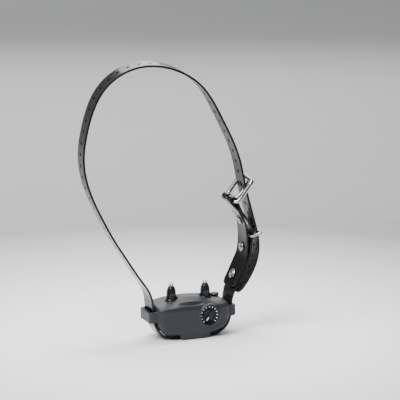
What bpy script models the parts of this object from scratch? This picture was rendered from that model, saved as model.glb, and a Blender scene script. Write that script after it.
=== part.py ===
"""Anti-bark collar: strap loop, buckle, keeper, rivets, and the housing with its dial and contacts."""

import math

import bpy
import numpy as np

# Driving sizes, in metres
LOOP_HEIGHT = 0.250
STRAP_WIDTH = 0.019
STRAP_THICKNESS = 0.0019
HOLE_PITCH = 0.01015
HOLE_DIAMETER = 0.0032
HOUSING_LENGTH = 0.070
HOUSING_DEPTH = 0.035
HOUSING_TOP = 0.0372
EAR_HEIGHT = 0.0098
EAR_LOW = 0.0172
CONTACT_HEIGHT = 0.0180
CONTACT_SPACING = 0.033
DIAL_RADIUS = 0.0105
KNOB_RADIUS = 0.0062
HEEL_RADIUS = 0.0015
BAR_RADIUS = 0.0020
FRAME_LENGTH = 0.0245
PRONG_RADIUS = 0.0011
KEEPER_WIRE = 0.00115
RIVET_CAP_RADIUS = 0.0044
RIVET_CAP_HEIGHT = 0.0010
RIVET_POST_RADIUS = 0.0013
PLUG_RADIUS = 0.0045
PLUG_HEIGHT = 0.0046

# Clearances and fits
GAP = 0.0003
LAYER_GAP = 0.0004
EDGE_GAP = 0.0011
FOLD_SLACK = 0.00045
RIVET_LIFT = 0.0006
CHANNEL_GAP = 0.0007
EAR_PLAY = 0.0014
WALL = 0.0025

# Derived sizes
HALF_LENGTH = HOUSING_LENGTH / 2
HALF_DEPTH = HOUSING_DEPTH / 2
HALF_WIDTH = STRAP_WIDTH / 2
HALF_THICK = STRAP_THICKNESS / 2
FOLD_RADIUS = HEEL_RADIUS + FOLD_SLACK + HALF_THICK
EYE_RADIUS = HEEL_RADIUS + GAP * 1.2 + PRONG_RADIUS
FRAME_HALF_WIDTH = HALF_WIDTH + EDGE_GAP + BAR_RADIUS
SLOT_HALF_WIDTH = PRONG_RADIUS + LAYER_GAP * 1.5
CHANNEL_HALF = HALF_WIDTH + CHANNEL_GAP
EAR_SLOT = STRAP_THICKNESS + 2 * EAR_PLAY
EAR_MIDDLE = HALF_LENGTH + EAR_SLOT / 2
EAR_REACH = HALF_LENGTH + EAR_SLOT + WALL

# The heel bar of the buckle, which the short end folds round
HEEL = np.array([0.1516, -0.0264, 0.4976]) * LOOP_HEIGHT
FRAME_TILT = math.radians(5.5)
FRAME_RISE = math.radians(55.4)
FRAME_SHIFT = 0.0005
BAR_OFFSET = 0.0029
FRAME_CORNER = 0.0020
EYE_SPAN = math.radians(215)
EYE_START = math.radians(35)

# Strap paths as shares of LOOP_HEIGHT, with the turn and the tilt of the width in degrees.
# Columns: x, y, z, turn, tilt
SHORT_END = [
    (0.1520, -0.0030, 0.1700, 7.0, 1.0),
    (0.1652, -0.0042, 0.1892, 8.5, 1.0),
    (0.1736, -0.0050, 0.2064, 8.5, 1.2),
    (0.1848, -0.0062, 0.2312, 8.5, 1.5),
    (0.1968, -0.0076, 0.2584, 8.0, 1.8),
    (0.2060, -0.0092, 0.2832, 5.2, 2.2),
    (0.2106, -0.0120, 0.3216, 3.0, 2.8),
    (0.2086, -0.0150, 0.3660, 1.8, 3.4),
    (0.2058, -0.0164, 0.3864, 1.2, 3.8),
    (0.1994, -0.0186, 0.4128, 0.6, 4.3),
    (0.1884, -0.0206, 0.4320, 0.4, 4.8),
    (0.1748, -0.0228, 0.4564, 0.2, 5.3),
]
STANDING = [
    (0.1856, -0.0230, 0.4540, 0.2, 5.2),
    (0.2042, -0.0206, 0.4268, 0.6, 4.7),
    (0.2200, -0.0184, 0.4020, 1.0, 4.2),
    (0.2308, -0.0168, 0.3820, 1.5, 3.8),
    (0.2316, -0.0150, 0.3620, 1.8, 3.5),
    (0.2276, -0.0128, 0.3368, 2.4, 3.0),
    (0.2224, -0.0100, 0.2980, 4.5, 2.4),
    (0.2096, -0.0078, 0.2624, 8.0, 1.8),
    (0.1914, -0.0056, 0.2236, 8.5, 1.4),
    (0.1756, -0.0042, 0.1904, 8.0, 1.0),
    (0.1600, -0.0026, 0.1500, 4.5, 0.6),
]
LOOP = [
    (-0.1579, -0.0040, 0.1614, 0.5, 2.0),
    (-0.1999, -0.0056, 0.2333, -1.5, 1.1),
    (-0.2462, -0.0045, 0.3044, -3.1, 0.4),
    (-0.2890, -0.0020, 0.3725, -4.1, 0.1),
    (-0.3273, 0.0009, 0.4430, -4.7, 0.1),
    (-0.3640, 0.0036, 0.5200, -5.0, 0.5),
    (-0.3906, 0.0050, 0.5960, -5.0, 1.0),
    (-0.4020, 0.0042, 0.6745, -4.8, 1.6),
    (-0.3932, 0.0005, 0.7602, -4.5, 2.4),
    (-0.3738, -0.0046, 0.8376, -4.2, 3.1),
    (-0.3393, -0.0114, 0.9113, -4.0, 3.7),
    (-0.2788, -0.0195, 0.9695, -3.7, 4.2),
    (-0.2040, -0.0264, 0.9982, -3.5, 4.5),
    (-0.1256, -0.0312, 0.9977, -3.4, 4.5),
    (-0.0444, -0.0337, 0.9708, -3.1, 4.2),
    (0.0210, -0.0340, 0.9261, -2.9, 3.8),
    (0.0699, -0.0324, 0.8633, -2.5, 3.3),
    (0.1109, -0.0302, 0.7887, -2.2, 2.6),
    (0.1472, -0.0286, 0.7175, -1.9, 2.0),
    (0.1759, -0.0273, 0.6429, -1.6, 1.3),
    (0.1952, -0.0264, 0.5599, -1.4, 0.7),
    (0.2147, -0.0263, 0.4825, -1.3, 0.2),
    (0.2364, -0.0268, 0.4055, -1.4, -0.2),
    (0.2513, -0.0276, 0.3230, -1.6, -0.4),
    (0.2349, -0.0276, 0.2437, -2.1, -0.3),
    (0.1905, -0.0258, 0.1699, -2.9, 0.1),
    (0.1752, -0.0250, 0.1500, -3.0, 0.1),
]

# The strap beside and under the housing.
# Columns: x and y as shares of EAR_MIDDLE, z as a share of HOUSING_TOP, turn, tilt
RIGHT_EAR = [
    (1.0254, -0.0067, 0.7796, 1.0, 0.2),
    (1.0214, 0.0000, 0.6317, 0.0, 0.0),
    (1.0187, 0.0000, 0.4973, 0.0, 0.0),
    (0.9920, 0.0000, 0.3629, 0.0, 0.0),
    (0.9317, 0.0000, 0.2339, 0.0, 0.0),
    (0.8246, 0.0000, 0.1263, 0.0, 0.0),
    (0.6827, 0.0000, 0.0524, 0.0, 0.0),
]
LEFT_EAR = [
    (-0.6024, 0.0000, 0.0390, 0.0, 0.0),
    (-0.7175, 0.0000, 0.0806, 0.0, 0.0),
    (-0.8112, 0.0000, 0.1559, 0.0, 0.0),
    (-0.8782, 0.0000, 0.2500, 0.0, 0.0),
    (-0.9478, 0.0000, 0.3629, 0.0, 0.0),
    (-0.9799, -0.0027, 0.4839, 0.5, 0.4),
    (-0.9880, -0.0080, 0.6048, 1.5, 1.2),
    (-1.0174, -0.0174, 0.8334, 1.4, 1.8),
]
LEFT_EAR_ROW = 6
FLAT_RIGHT = HALF_LENGTH * 0.586
FLAT_LEFT = -HALF_LENGTH * 0.543

# Places along the strap
EAR_TO_FIRST_HOLE = 0.070
LAST_HOLE_TO_TIP = 0.022
PRONG_HOLE_GROWTH = 1.15
PRONG_HOLE_STRETCH = 0.0017
PRONG_HOLE_PULL = 0.0012
RIVET_HEIGHTS = (0.212, 0.312, 0.418)
RIVET_HOLE_RADIUS = 0.0020
SLOT_BEFORE_FOLD = 0.0044
SLOT_AFTER_FOLD = 0.0085
SHORT_TIP_ROUND = 0.0050
FREE_TIP_ROUND = 0.0075
TIP_SHARES = (0.0, 0.07, 0.25, 0.55, 1.0)
KEEPER_AT = np.array([0.232, -0.0155, 0.366]) * LOOP_HEIGHT
KEEPER_CORNER = 0.0016

# Steps along the strap, and the strip of width and length kept round each hole
SAMPLE_STEP = 0.0002
PLAIN_STEP = 0.0040
CURVE_STEP = 0.0027
FOLD_STEP = math.radians(18)
HOLE_STRIP = 0.0026
RIVET_STRIP = 0.0034
HOLE_SIDES = 8
HOLE_ROWS = 3

# The prong after its eye. Columns: share of FRAME_LENGTH, share of BAR_OFFSET
PRONG_CURVE = [
    (0.10, 1.50),
    (0.19, 2.02),
    (0.33, 2.36),
    (0.52, 2.52),
    (0.72, 2.48),
    (0.98, 2.26),
    (1.09, 2.14),
]

# One side of the buckle frame from its heel to its end bar.
# Columns: share of FRAME_LENGTH, share of BAR_OFFSET, share of BAR_RADIUS, inset in shares of FRAME_CORNER
FRAME_SIDE = [
    (0.000, 0.00, HEEL_RADIUS / BAR_RADIUS, 1.50),
    (0.004, 0.08, 0.78, 0.72),
    (0.034, 0.46, 0.86, 0.20),
    (0.102, 0.86, 1.00, 0.00),
    (0.200, 1.00, 1.00, 0.00),
    (0.800, 1.00, 1.00, 0.00),
    (0.890, 1.00, 1.00, 0.00),
    (0.966, 1.00, 0.98, 0.42),
    (1.000, 1.00, 0.95, 1.45),
    (1.000, 1.00, 0.95, 4.40),
]

# A rivet's caps. Columns: share of RIVET_CAP_RADIUS, share of RIVET_CAP_HEIGHT
INNER_CAP = [(0.0, 0.3), (0.36, 0.3), (0.46, 1.0), (0.78, 1.0), (1.0, 0.3), (1.0, 0.0)]
OUTER_CAP = [(0.85, 0.0), (0.80, 0.5), (0.0, 0.7)]

# Housing
BODY_CORNER = 0.0068
TOP_ROUND = 0.0022
BOTTOM_ROUND = 0.0024
FRONT_FALL = 0.0079
BACK_FALL = 0.0035
SIDE_FALL = 2.4
BOTTOM_HOLLOW = 0.0005
BELLY_EDGE = 0.0050
BODY_STEP = 0.0056
EAR_ROOT = 0.0040
EAR_CORNER = 0.0036
EAR_SLOT_CORNER = 0.0012
EAR_SLOT_MORE = 0.0004
EAR_SLOT_REACH = 0.0040
LOBE_HALF = 0.0148
LOBE_TOP = 0.0090
LOBE_INSET = 0.0001

# Columns: share of half the housing's length, share of HOUSING_TOP
CROWN = [
    (0.00, 1.000),
    (0.25, 0.985),
    (0.45, 0.940),
    (0.60, 0.890),
    (0.70, 0.876),
    (0.86, 0.862),
    (1.00, 0.830),
]
KEEL = [
    (0.00, 0.000),
    (0.30, 0.000),
    (0.45, 0.065),
    (0.60, 0.085),
    (0.69, 0.109),
    (0.77, 0.142),
    (0.86, 0.194),
    (0.92, 0.251),
    (0.96, 0.317),
    (1.00, 0.412),
]
BELLY = [
    (0.00, 0.000),
    (0.60, 0.000),
    (0.69, 0.033),
    (0.77, 0.085),
    (0.86, 0.166),
    (0.92, 0.237),
    (0.96, 0.312),
    (1.00, 0.412),
]

# Columns: share of LOBE_HALF, share of HOUSING_TOP
LOBE = [(0.62, 0.000), (0.86, 0.034), (0.96, 0.078), (1.00, 0.149)]

# Dial
DIAL_FROM_END = 0.0211
DIAL_FROM_TOP = 0.0165
DIAL_CENTRE = (HALF_LENGTH - DIAL_FROM_END, HOUSING_TOP - DIAL_FROM_TOP)
DIAL_PROUD = 0.0011
DIAL_CHAMFER = 0.0009
DIAL_RIM = 0.0014
DIAL_RECESS = 0.0026
BOSS_LENGTH = 0.0090
KNOB_DEPTH = 0.0020
GRIP_ANGLE = math.radians(52)
GRIP_HALF_WIDTH = 0.0011
GRIP_PROUD = 0.0010
POINTER_HALF_LENGTH = 0.0017
POINTER_HALF_WIDTH = 0.00045
POINTER_THICKNESS = 0.0003

# Columns: inset from KNOB_RADIUS in shares of it, share of KNOB_DEPTH
KNOB_RIM = [(0.00, 0.00), (0.00, 0.70), (0.08, 1.00), (0.18, 1.00), (0.23, 0.75)]

# Contacts
CONTACT_SINK = 0.0052
CONTACT_FLOOR = HOUSING_TOP - CONTACT_SINK
CONTACT_SEAT = 0.0058
STUD_RADIUS = 0.0019
STUD_FOOT = 0.0009
STUD_FOOT_RADIUS = 0.0046
SLEEVE_RADIUS = 0.0054
SEAT_CUT = 0.0060

# Columns: share of STUD_RADIUS, share of CONTACT_HEIGHT
STUD = [(0.84, 0.050), (0.74, 0.840), (1.00, 0.900), (1.00, 0.960), (0.58, 1.000), (0.00, 1.000)]

# Columns: share of SLEEVE_RADIUS, share of CONTACT_HEIGHT
SLEEVE = [
    (1.00, 0.064),
    (0.96, 0.117),
    (0.83, 0.200),
    (0.83, 0.420),
    (0.76, 0.580),
    (0.59, 0.720),
    (0.43, 0.810),
]
SLEEVE_MOUTH = 0.820

# Port plug
PLUG_FROM_END = 0.0060
PLUG_FROM_BACK = 0.0090
PLUG_SINK = 0.0072
PLUG_AT = (HALF_LENGTH - PLUG_FROM_END, HALF_DEPTH - PLUG_FROM_BACK, HOUSING_TOP - PLUG_SINK)
PLUG_SEAT_GAP = 0.0006
TAB_HALF_LENGTH = 0.0030
TAB_HALF_WIDTH = 0.0013

# Columns: share of PLUG_RADIUS, share of PLUG_HEIGHT
PLUG = [
    (0.00, 0.00),
    (1.00, 0.00),
    (1.00, 0.22),
    (0.80, 0.30),
    (0.80, 0.46),
    (0.96, 0.56),
    (0.96, 0.76),
    (0.72, 0.94),
    (0.30, 1.00),
    (0.00, 1.00),
]


def clear_scene():
    for item in list(bpy.data.objects):
        bpy.data.objects.remove(item, do_unlink=True)
    for mesh in list(bpy.data.meshes):
        bpy.data.meshes.remove(mesh)


def paint(name, colour, rough, metal=0.0):
    material = bpy.data.materials.new(name)
    material.use_nodes = True
    shader = material.node_tree.nodes["Principled BSDF"]
    shader.inputs["Base Color"].default_value = (*colour, 1.0)
    shader.inputs["Roughness"].default_value = rough
    shader.inputs["Metallic"].default_value = metal
    return material


def unit(vector):
    return vector / np.linalg.norm(vector)


def add_object(name, points, faces, material, smooth=True):
    mesh = bpy.data.meshes.new(name)
    mesh.from_pydata([tuple(map(float, p)) for p in points], [], faces)
    mesh.materials.append(material)
    mesh.validate()
    mesh.update()
    if smooth:
        mesh.shade_smooth()
        mesh.set_sharp_from_angle(angle=math.radians(35))
    item = bpy.data.objects.new(name, mesh)
    bpy.context.scene.collection.objects.link(item)
    return item


def add_cutter(name, points, faces):
    item = add_object(name, points, faces, None, smooth=False)
    item.hide_render = True
    item.display_type = "WIRE"
    return item


def combine(target, other, operation):
    modifier = target.modifiers.new(other.name, "BOOLEAN")
    modifier.operation = operation
    modifier.solver = "EXACT"
    modifier.object = other


# Tubes, turned shapes and plates


def tube(path, radii, sides, closed=False, side=None):
    """A tube along the path, with the ring's first point kept towards side."""
    path = np.asarray(path)
    count = len(path)
    points, faces = [], []
    for i in range(count):
        before = path[(i - 1) % count] if closed or i else path[0]
        after = path[(i + 1) % count] if closed or i < count - 1 else path[-1]
        along = unit(after - before)
        across = unit(side - along * np.dot(side, along))
        third = np.cross(along, across)
        for k in range(sides):
            angle = 2 * math.pi * k / sides
            points.append(path[i] + radii[i] * (math.cos(angle) * across + math.sin(angle) * third))
    for i in range(count if closed else count - 1):
        a, b = i * sides, (i + 1) % count * sides
        for k in range(sides):
            n = (k + 1) % sides
            faces.append((a + k, a + n, b + n, b + k))
    if not closed:
        faces.append(tuple(range(sides))[::-1])
        faces.append(tuple((count - 1) * sides + k for k in range(sides)))
    return points, faces


def turned(profile, centre, axis, across, sides):
    """Turns (radius, height) rows about the axis. A radius of 0 at an end closes it in a point."""
    centre, axis = np.asarray(centre), unit(np.asarray(axis, float))
    across = unit(across - axis * np.dot(across, axis))
    third = np.cross(axis, across)
    points, rings, faces = [], [], []
    for radius, height in profile:
        if radius == 0:
            rings.append([len(points)])
            points.append(centre + axis * height)
            continue
        rings.append(list(range(len(points), len(points) + sides)))
        for k in range(sides):
            angle = 2 * math.pi * k / sides
            spoke = math.cos(angle) * across + math.sin(angle) * third
            points.append(centre + axis * height + radius * spoke)
    for lower, upper in zip(rings, rings[1:]):
        for k in range(sides):
            n = (k + 1) % sides
            if len(lower) == 1:
                faces.append((lower[0], upper[n], upper[k]))
            elif len(upper) == 1:
                faces.append((lower[k], lower[n], upper[0]))
            else:
                faces.append((lower[k], lower[n], upper[n], upper[k]))
    if len(rings[0]) > 1:
        faces.append(tuple(rings[0])[::-1])
    if len(rings[-1]) > 1:
        faces.append(tuple(rings[-1]))
    return points, faces


def plate(outline, low, high):
    """An outline in x and z between two y values. The outline runs anticlockwise seen from the front."""
    count = len(outline)
    points = [(x, low, z) for x, z in outline] + [(x, high, z) for x, z in outline]
    faces = [tuple(range(count)), tuple(range(count, 2 * count))[::-1]]
    for k in range(count):
        n = (k + 1) % count
        faces.append((k, k + count, n + count, n))
    return points, faces


def rounded_outline(half_x, half_y, corner, steps):
    """Points of a rounded rectangle, anticlockwise from the right end of the front side."""
    points = []
    for quarter, (sx, sy) in enumerate(((1, -1), (1, 1), (-1, 1), (-1, -1))):
        start = -math.pi / 2 + quarter * math.pi / 2
        for k in range(steps + 1):
            angle = start + math.pi / 2 * k / steps
            x = sx * (half_x - corner) + corner * math.cos(angle)
            y = sy * (half_y - corner) + corner * math.sin(angle)
            points.append((x, y))
    return points


# The strap's centre line


def spline(rows, first_slope=None, last_slope=None):
    """A cubic curve through the rows, read by distance along their chords."""
    rows = np.asarray(rows, float)
    steps = np.linalg.norm(np.diff(rows[:, :3], axis=0), axis=1)
    knots = np.concatenate([[0], np.cumsum(steps)])
    count = len(rows)
    matrix = np.zeros((count, count))
    right = np.zeros_like(rows)
    for i in range(1, count - 1):
        a, b = steps[i - 1], steps[i]
        matrix[i, i - 1 : i + 2] = b, 2 * (a + b), a
        right[i] = 3 * (b * (rows[i] - rows[i - 1]) / a + a * (rows[i + 1] - rows[i]) / b)
    matrix[0, :2] = 2, 1
    right[0] = 3 * (rows[1] - rows[0]) / steps[0]
    matrix[-1, -2:] = 1, 2
    right[-1] = 3 * (rows[-1] - rows[-2]) / steps[-1]
    if first_slope is not None:
        matrix[0, :2] = 1, 0
        right[0] = first_slope
    if last_slope is not None:
        matrix[-1, -2:] = 0, 1
        right[-1] = last_slope
    slopes = np.linalg.solve(matrix, right)

    def read(distance):
        i = int(np.clip(np.searchsorted(knots, distance, side="right") - 1, 0, count - 2))
        h = steps[i]
        t = (distance - knots[i]) / h
        return (
            (1 + 2 * t) * (1 - t) ** 2 * rows[i]
            + t * (1 - t) ** 2 * h * slopes[i]
            + t * t * (3 - 2 * t) * rows[i + 1]
            + t * t * (t - 1) * h * slopes[i + 1]
        )

    return read, knots


def scaled(table, across=LOOP_HEIGHT, up=LOOP_HEIGHT):
    rows = np.array(table, float)
    rows[:, :2] *= across
    rows[:, 2] *= up
    return rows


def fold_rows(before, after):
    """The turn round the heel bar, from the short end's last row to the standing strap's first."""

    def touch(point, sign):
        step = point[[0, 2]] - HEEL[[0, 2]]
        reach = np.linalg.norm(step)
        return math.atan2(step[1], step[0]) + sign * math.acos(FOLD_RADIUS / reach)

    start = touch(before, -1) + 2 * math.pi
    end = touch(after, 1)
    count = int(math.ceil((start - end) / FOLD_STEP))
    rows = []
    for k in range(count + 1):
        angle = start + (end - start) * k / count
        x = HEEL[0] + FOLD_RADIUS * math.cos(angle)
        z = HEEL[2] + FOLD_RADIUS * math.sin(angle)
        rows.append((x, HEEL[1], z, 0.0, math.degrees(FRAME_TILT)))
    return np.array(rows), start, end


class StrapPath:
    """Sampled centre line with a frame: along, across (the width) and out (the outer face)."""

    def __init__(self):
        short, loop = scaled(SHORT_END), scaled(LOOP)
        right_ear = scaled(RIGHT_EAR, EAR_MIDDLE, HOUSING_TOP)
        left_ear = scaled(LEFT_EAR, EAR_MIDDLE, HOUSING_TOP)
        standing = np.vstack([scaled(STANDING), right_ear])
        fold, self.fold_start, self.fold_end = fold_rows(short[-1], standing[0])
        right = np.array([FLAT_RIGHT, 0, HALF_THICK, 0, 0])
        left = np.array([FLAT_LEFT, 0, HALF_THICK, 0, 0])
        level = np.array([-1.0, 0, 0, 0, 0])
        first, first_knots = spline(np.vstack([short, fold, standing, right]), last_slope=level)
        second, second_knots = spline(np.vstack([left, left_ear, loop]), first_slope=level)
        rows = [first(d) for d in np.arange(0, first_knots[-1], SAMPLE_STEP)]
        rows += [right + (left - right) * share for share in np.arange(0, 1, 0.02)]
        join = len(rows)
        rows += [second(d) for d in np.arange(0, second_knots[-1], SAMPLE_STEP)]
        self.rows = np.array(rows)
        steps = np.linalg.norm(np.diff(self.rows[:, :3], axis=0), axis=1)
        self.arc = np.concatenate([[0], np.cumsum(steps)])
        self.length = self.arc[-1]
        self.fold_from = self.nearest(fold[0][:3])
        self.fold_to = self.nearest(fold[-1][:3])
        self.flat_from = self.nearest(right[:3])
        self.flat_to = self.arc[join]
        self.ear = self.nearest(left_ear[LEFT_EAR_ROW][:3])

    def nearest(self, point, low=0.0, high=1e9):
        inside = (self.arc >= low) & (self.arc <= high)
        away = np.linalg.norm(self.rows[:, :3] - point, axis=1)
        away[~inside] = 1e9
        return self.arc[int(np.argmin(away))]

    def frame(self, s):
        row = np.array([np.interp(s, self.arc, self.rows[:, k]) for k in range(5)])
        ahead = np.array([np.interp(s + SAMPLE_STEP, self.arc, self.rows[:, k]) for k in range(3)])
        behind = np.array([np.interp(s - SAMPLE_STEP, self.arc, self.rows[:, k]) for k in range(3)])
        along = unit(ahead - behind)
        turn, tilt = np.radians(row[3:])
        across = np.array([-math.sin(turn), math.cos(turn), math.tan(tilt)])
        across = unit(across - along * np.dot(across, along))
        return row[:3], along, across, np.cross(along, across)

    def point(self, s, w, side):
        centre, _, across, out = self.frame(s)
        return centre + across * w + out * (side * HALF_THICK)


# The strap as one closed body


class StrapBuilder:
    """Rows across the strap joined by bands. Each (s, w) place is one point on both faces."""

    def __init__(self, path):
        self.path = path
        self.places = {}
        self.points = []
        self.faces = []

    def place(self, s, w):
        key = (round(s * 1e7), round(w * 1e7))
        if key not in self.places:
            self.places[key] = len(self.points)
            self.points.append(self.path.point(s, w, 1))
            self.points.append(self.path.point(s, w, -1))
        return self.places[key]

    def skin(self, corners):
        """One face on the outer side and its twin on the inner one. The corners run s first, then w."""
        ids = [self.place(s, w) for s, w in corners]
        self.faces.append(tuple(ids))
        self.faces.append(tuple(i + 1 for i in reversed(ids)))

    def wall(self, places):
        """Closes an edge of the skin, with the strap on the left of the run."""
        ids = [self.place(s, w) for s, w in places]
        for a, b in zip(ids, ids[1:]):
            self.faces.append((b, a, a + 1, b + 1))

    def band(self, s_low, low, s_high, high):
        """Joins two rows of w values from their lower to their upper ends."""
        i = j = 0
        while i < len(low) - 1 or j < len(high) - 1:
            both = i < len(low) - 1 and j < len(high) - 1
            if both and abs(low[i + 1] - high[j + 1]) < 1e-6:
                self.skin([(s_low, low[i]), (s_high, high[j]), (s_high, high[j + 1]), (s_low, low[i + 1])])
                i, j = i + 1, j + 1
            elif j == len(high) - 1 or (both and low[i + 1] < high[j + 1]):
                self.skin([(s_low, low[i]), (s_high, high[j]), (s_low, low[i + 1])])
                i += 1
            else:
                self.skin([(s_low, low[i]), (s_high, high[j]), (s_high, high[j + 1])])
                j += 1

    def edges(self, rows):
        """Walls on both long sides of a list of (s, w values) rows."""
        self.wall([(s, ws[0]) for s, ws in rows])
        self.wall([(s, ws[-1]) for s, ws in reversed(rows)])

    def run(self, rows):
        for (s_low, low), (s_high, high) in zip(rows, rows[1:]):
            self.band(s_low, low, s_high, high)
        self.edges(rows)

    def tile(self, s_low, s_high, centre, radius, stretch):
        """A piece of strap with one hole, which stretch makes longer along the strap."""
        stops = [s_low + (s_high - s_low) * k / HOLE_ROWS for k in range(HOLE_ROWS + 1)]
        for a, b in zip(stops, stops[1:]):
            self.band(a, [-HALF_WIDTH, -HOLE_STRIP], b, [-HALF_WIDTH, -HOLE_STRIP])
            self.band(a, [HOLE_STRIP, HALF_WIDTH], b, [HOLE_STRIP, HALF_WIDTH])
        self.edges([(s, [-HALF_WIDTH, HALF_WIDTH]) for s in stops])
        rim = [(s, -HOLE_STRIP) for s in stops] + [(s, HOLE_STRIP) for s in reversed(stops)]
        hole = []
        for k in range(HOLE_SIDES):
            angle = math.pi / HOLE_SIDES * (2 * k + 1) - math.pi
            ds = radius * math.cos(angle)
            shift = math.copysign(stretch, ds)
            hole.append((centre + ds + shift, radius * math.sin(angle)))
        self.ring(rim, hole, centre)
        self.wall(hole[::-1] + hole[-1:])

    def ring(self, rim, hole, centre):
        """Faces between a rim and the hole inside it, in the order of their angles round the centre."""

        def angle(place):
            return math.atan2(place[1], place[0] - centre) % (2 * math.pi)

        rim, hole = sorted(rim, key=angle), sorted(hole, key=angle)
        rim.append(rim[0])
        hole.append(hole[0])
        rim_turns = [angle(place) for place in rim[:-1]] + [angle(rim[0]) + 2 * math.pi]
        hole_turns = [angle(place) for place in hole[:-1]] + [angle(hole[0]) + 2 * math.pi]
        i = j = 0
        while i < len(rim) - 1 or j < len(hole) - 1:
            both = i < len(rim) - 1 and j < len(hole) - 1
            if j == len(hole) - 1 or (both and rim_turns[i + 1] < hole_turns[j + 1]):
                self.skin([rim[i], rim[i + 1], hole[j]])
                i += 1
            else:
                self.skin([rim[i], hole[j + 1], hole[j]])
                j += 1


def tip_half_width(from_tip, rounding):
    if from_tip >= rounding:
        return HALF_WIDTH
    fall = rounding - math.sqrt(max(rounding**2 - (rounding - from_tip) ** 2, 0.0))
    return HALF_WIDTH - fall


def stops_between(low, high, step):
    count = max(1, int(round((high - low) / step)))
    return [low + (high - low) * k / count for k in range(count + 1)]


def strap_body(path, rivets, crossing):
    """Builds the strap from its short end to its free tip. Its holes are spaced from the prong's hole at crossing."""
    plain = [-HALF_WIDTH, -HOLE_STRIP, HOLE_STRIP, HALF_WIDTH]
    build = StrapBuilder(path)

    def tip_rows(start, toward, rounding):
        rows = []
        for share in TIP_SHARES:
            half = tip_half_width(share * rounding, rounding)
            rows.append((start + toward * share * rounding, [-half, half]))
        rows[-1] = (rows[-1][0], plain)
        return rows

    def plain_run(low, high, step, first=None, last=None):
        rows = [(s, plain) for s in stops_between(low, high, step)]
        if first:
            rows[0] = (low, first)
        if last:
            rows[-1] = (high, last)
        build.run(rows)

    start = tip_rows(0.0, 1, SHORT_TIP_ROUND)
    build.run(start)
    build.wall([(0.0, start[0][1][1]), (0.0, start[0][1][0])])
    at = SHORT_TIP_ROUND
    slot_from = path.fold_from - SLOT_BEFORE_FOLD
    slot_to = path.fold_to + SLOT_AFTER_FOLD
    slot = [-HALF_WIDTH, -SLOT_HALF_WIDTH, SLOT_HALF_WIDTH, HALF_WIDTH]
    for spot, _ in rivets:
        plain_run(at, spot - RIVET_STRIP, CURVE_STEP)
        build.tile(spot - RIVET_STRIP, spot + RIVET_STRIP, spot, RIVET_HOLE_RADIUS, 0.0)
        at = spot + RIVET_STRIP
    plain_run(at, slot_from, CURVE_STEP, last=slot)
    stops = stops_between(slot_from, path.fold_from, CURVE_STEP)
    stops += stops_between(path.fold_from, path.fold_to, FOLD_RADIUS * FOLD_STEP)[1:]
    stops += stops_between(path.fold_to, slot_to, CURVE_STEP)[1:]
    for a, b in zip(stops, stops[1:]):
        build.band(a, slot[:2], b, slot[:2])
        build.band(a, slot[2:], b, slot[2:])
    build.edges([(s, [-HALF_WIDTH, HALF_WIDTH]) for s in stops])
    around = [(s, slot[1]) for s in reversed(stops)] + [(s, slot[2]) for s in stops]
    build.wall(around + around[:1])
    at = slot_to
    first = slot
    for _, spot in reversed(rivets):
        plain_run(at, spot - RIVET_STRIP, CURVE_STEP, first=first)
        build.tile(spot - RIVET_STRIP, spot + RIVET_STRIP, spot, RIVET_HOLE_RADIUS, 0.0)
        at = spot + RIVET_STRIP
        first = None
    plain_run(at, path.flat_from, CURVE_STEP)
    plain_run(path.flat_from, path.flat_to, FLAT_RIGHT)
    even = crossing + PRONG_HOLE_PULL
    before = int((even - path.ear - EAR_TO_FIRST_HOLE) / HOLE_PITCH)
    after = int((path.length - LAST_HOLE_TO_TIP - even) / HOLE_PITCH)
    count = before + 1 + after
    first_tile = even - (before + 0.5) * HOLE_PITCH
    plain_run(path.flat_to, path.ear, CURVE_STEP)
    plain_run(path.ear, first_tile, PLAIN_STEP)
    for k in range(count):
        low = first_tile + k * HOLE_PITCH
        pulled = k == before
        stretch = PRONG_HOLE_STRETCH if pulled else 0.0
        middle = low + HOLE_PITCH / 2 - (PRONG_HOLE_PULL if pulled else 0.0)
        growth = PRONG_HOLE_GROWTH if pulled else 1.0
        build.tile(low, low + HOLE_PITCH, middle, HOLE_DIAMETER / 2 * growth, stretch)
    at = first_tile + count * HOLE_PITCH
    plain_run(at, path.length - FREE_TIP_ROUND, CURVE_STEP)
    end = tip_rows(path.length, -1, FREE_TIP_ROUND)[::-1]
    build.run(end)
    build.wall([(path.length, end[-1][1][0]), (path.length, end[-1][1][1])])
    return build.points, build.faces


def rivet_spots(path):
    """For each rivet, its place on the short end and the place straight across on the standing strap."""
    spots = []
    for share in RIVET_HEIGHTS:
        height = share * LOOP_HEIGHT
        stretch = path.arc < path.fold_from
        heights = np.where(stretch, path.rows[:, 2], 1e9)
        on_short = path.arc[int(np.argmin(abs(heights - height)))]
        centre, _, _, out = path.frame(on_short)
        away = path.rows[:, :3] - centre
        off_axis = np.linalg.norm(away - np.outer(away @ out, out), axis=1)
        off_axis[(path.arc < path.fold_to) | (path.arc > path.flat_from)] = 1e9
        on_standing = path.arc[int(np.argmin(off_axis))]
        spots.append((on_short, on_standing))
    return spots


def rivet(name, path, spots, material):
    """A tube rivet through both layers, with a hollow cap inside the loop and a flat one outside."""
    inner, _, across, out = path.frame(spots[0])
    outer = path.frame(spots[1])[0]
    axis = -out
    apart = np.dot(outer - inner, axis)
    low = -HALF_THICK - GAP - RIVET_LIFT
    high = apart + HALF_THICK + GAP + RIVET_LIFT
    profile = [(share * RIVET_CAP_RADIUS, low - height * RIVET_CAP_HEIGHT) for share, height in INNER_CAP]
    profile += [(RIVET_POST_RADIUS, low), (RIVET_POST_RADIUS, high)]
    profile += [(share * RIVET_CAP_RADIUS, high + height * RIVET_CAP_HEIGHT) for share, height in OUTER_CAP]
    return add_object(name, *turned(profile, inner, axis, across, 16), material)


# Buckle and keeper


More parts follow.
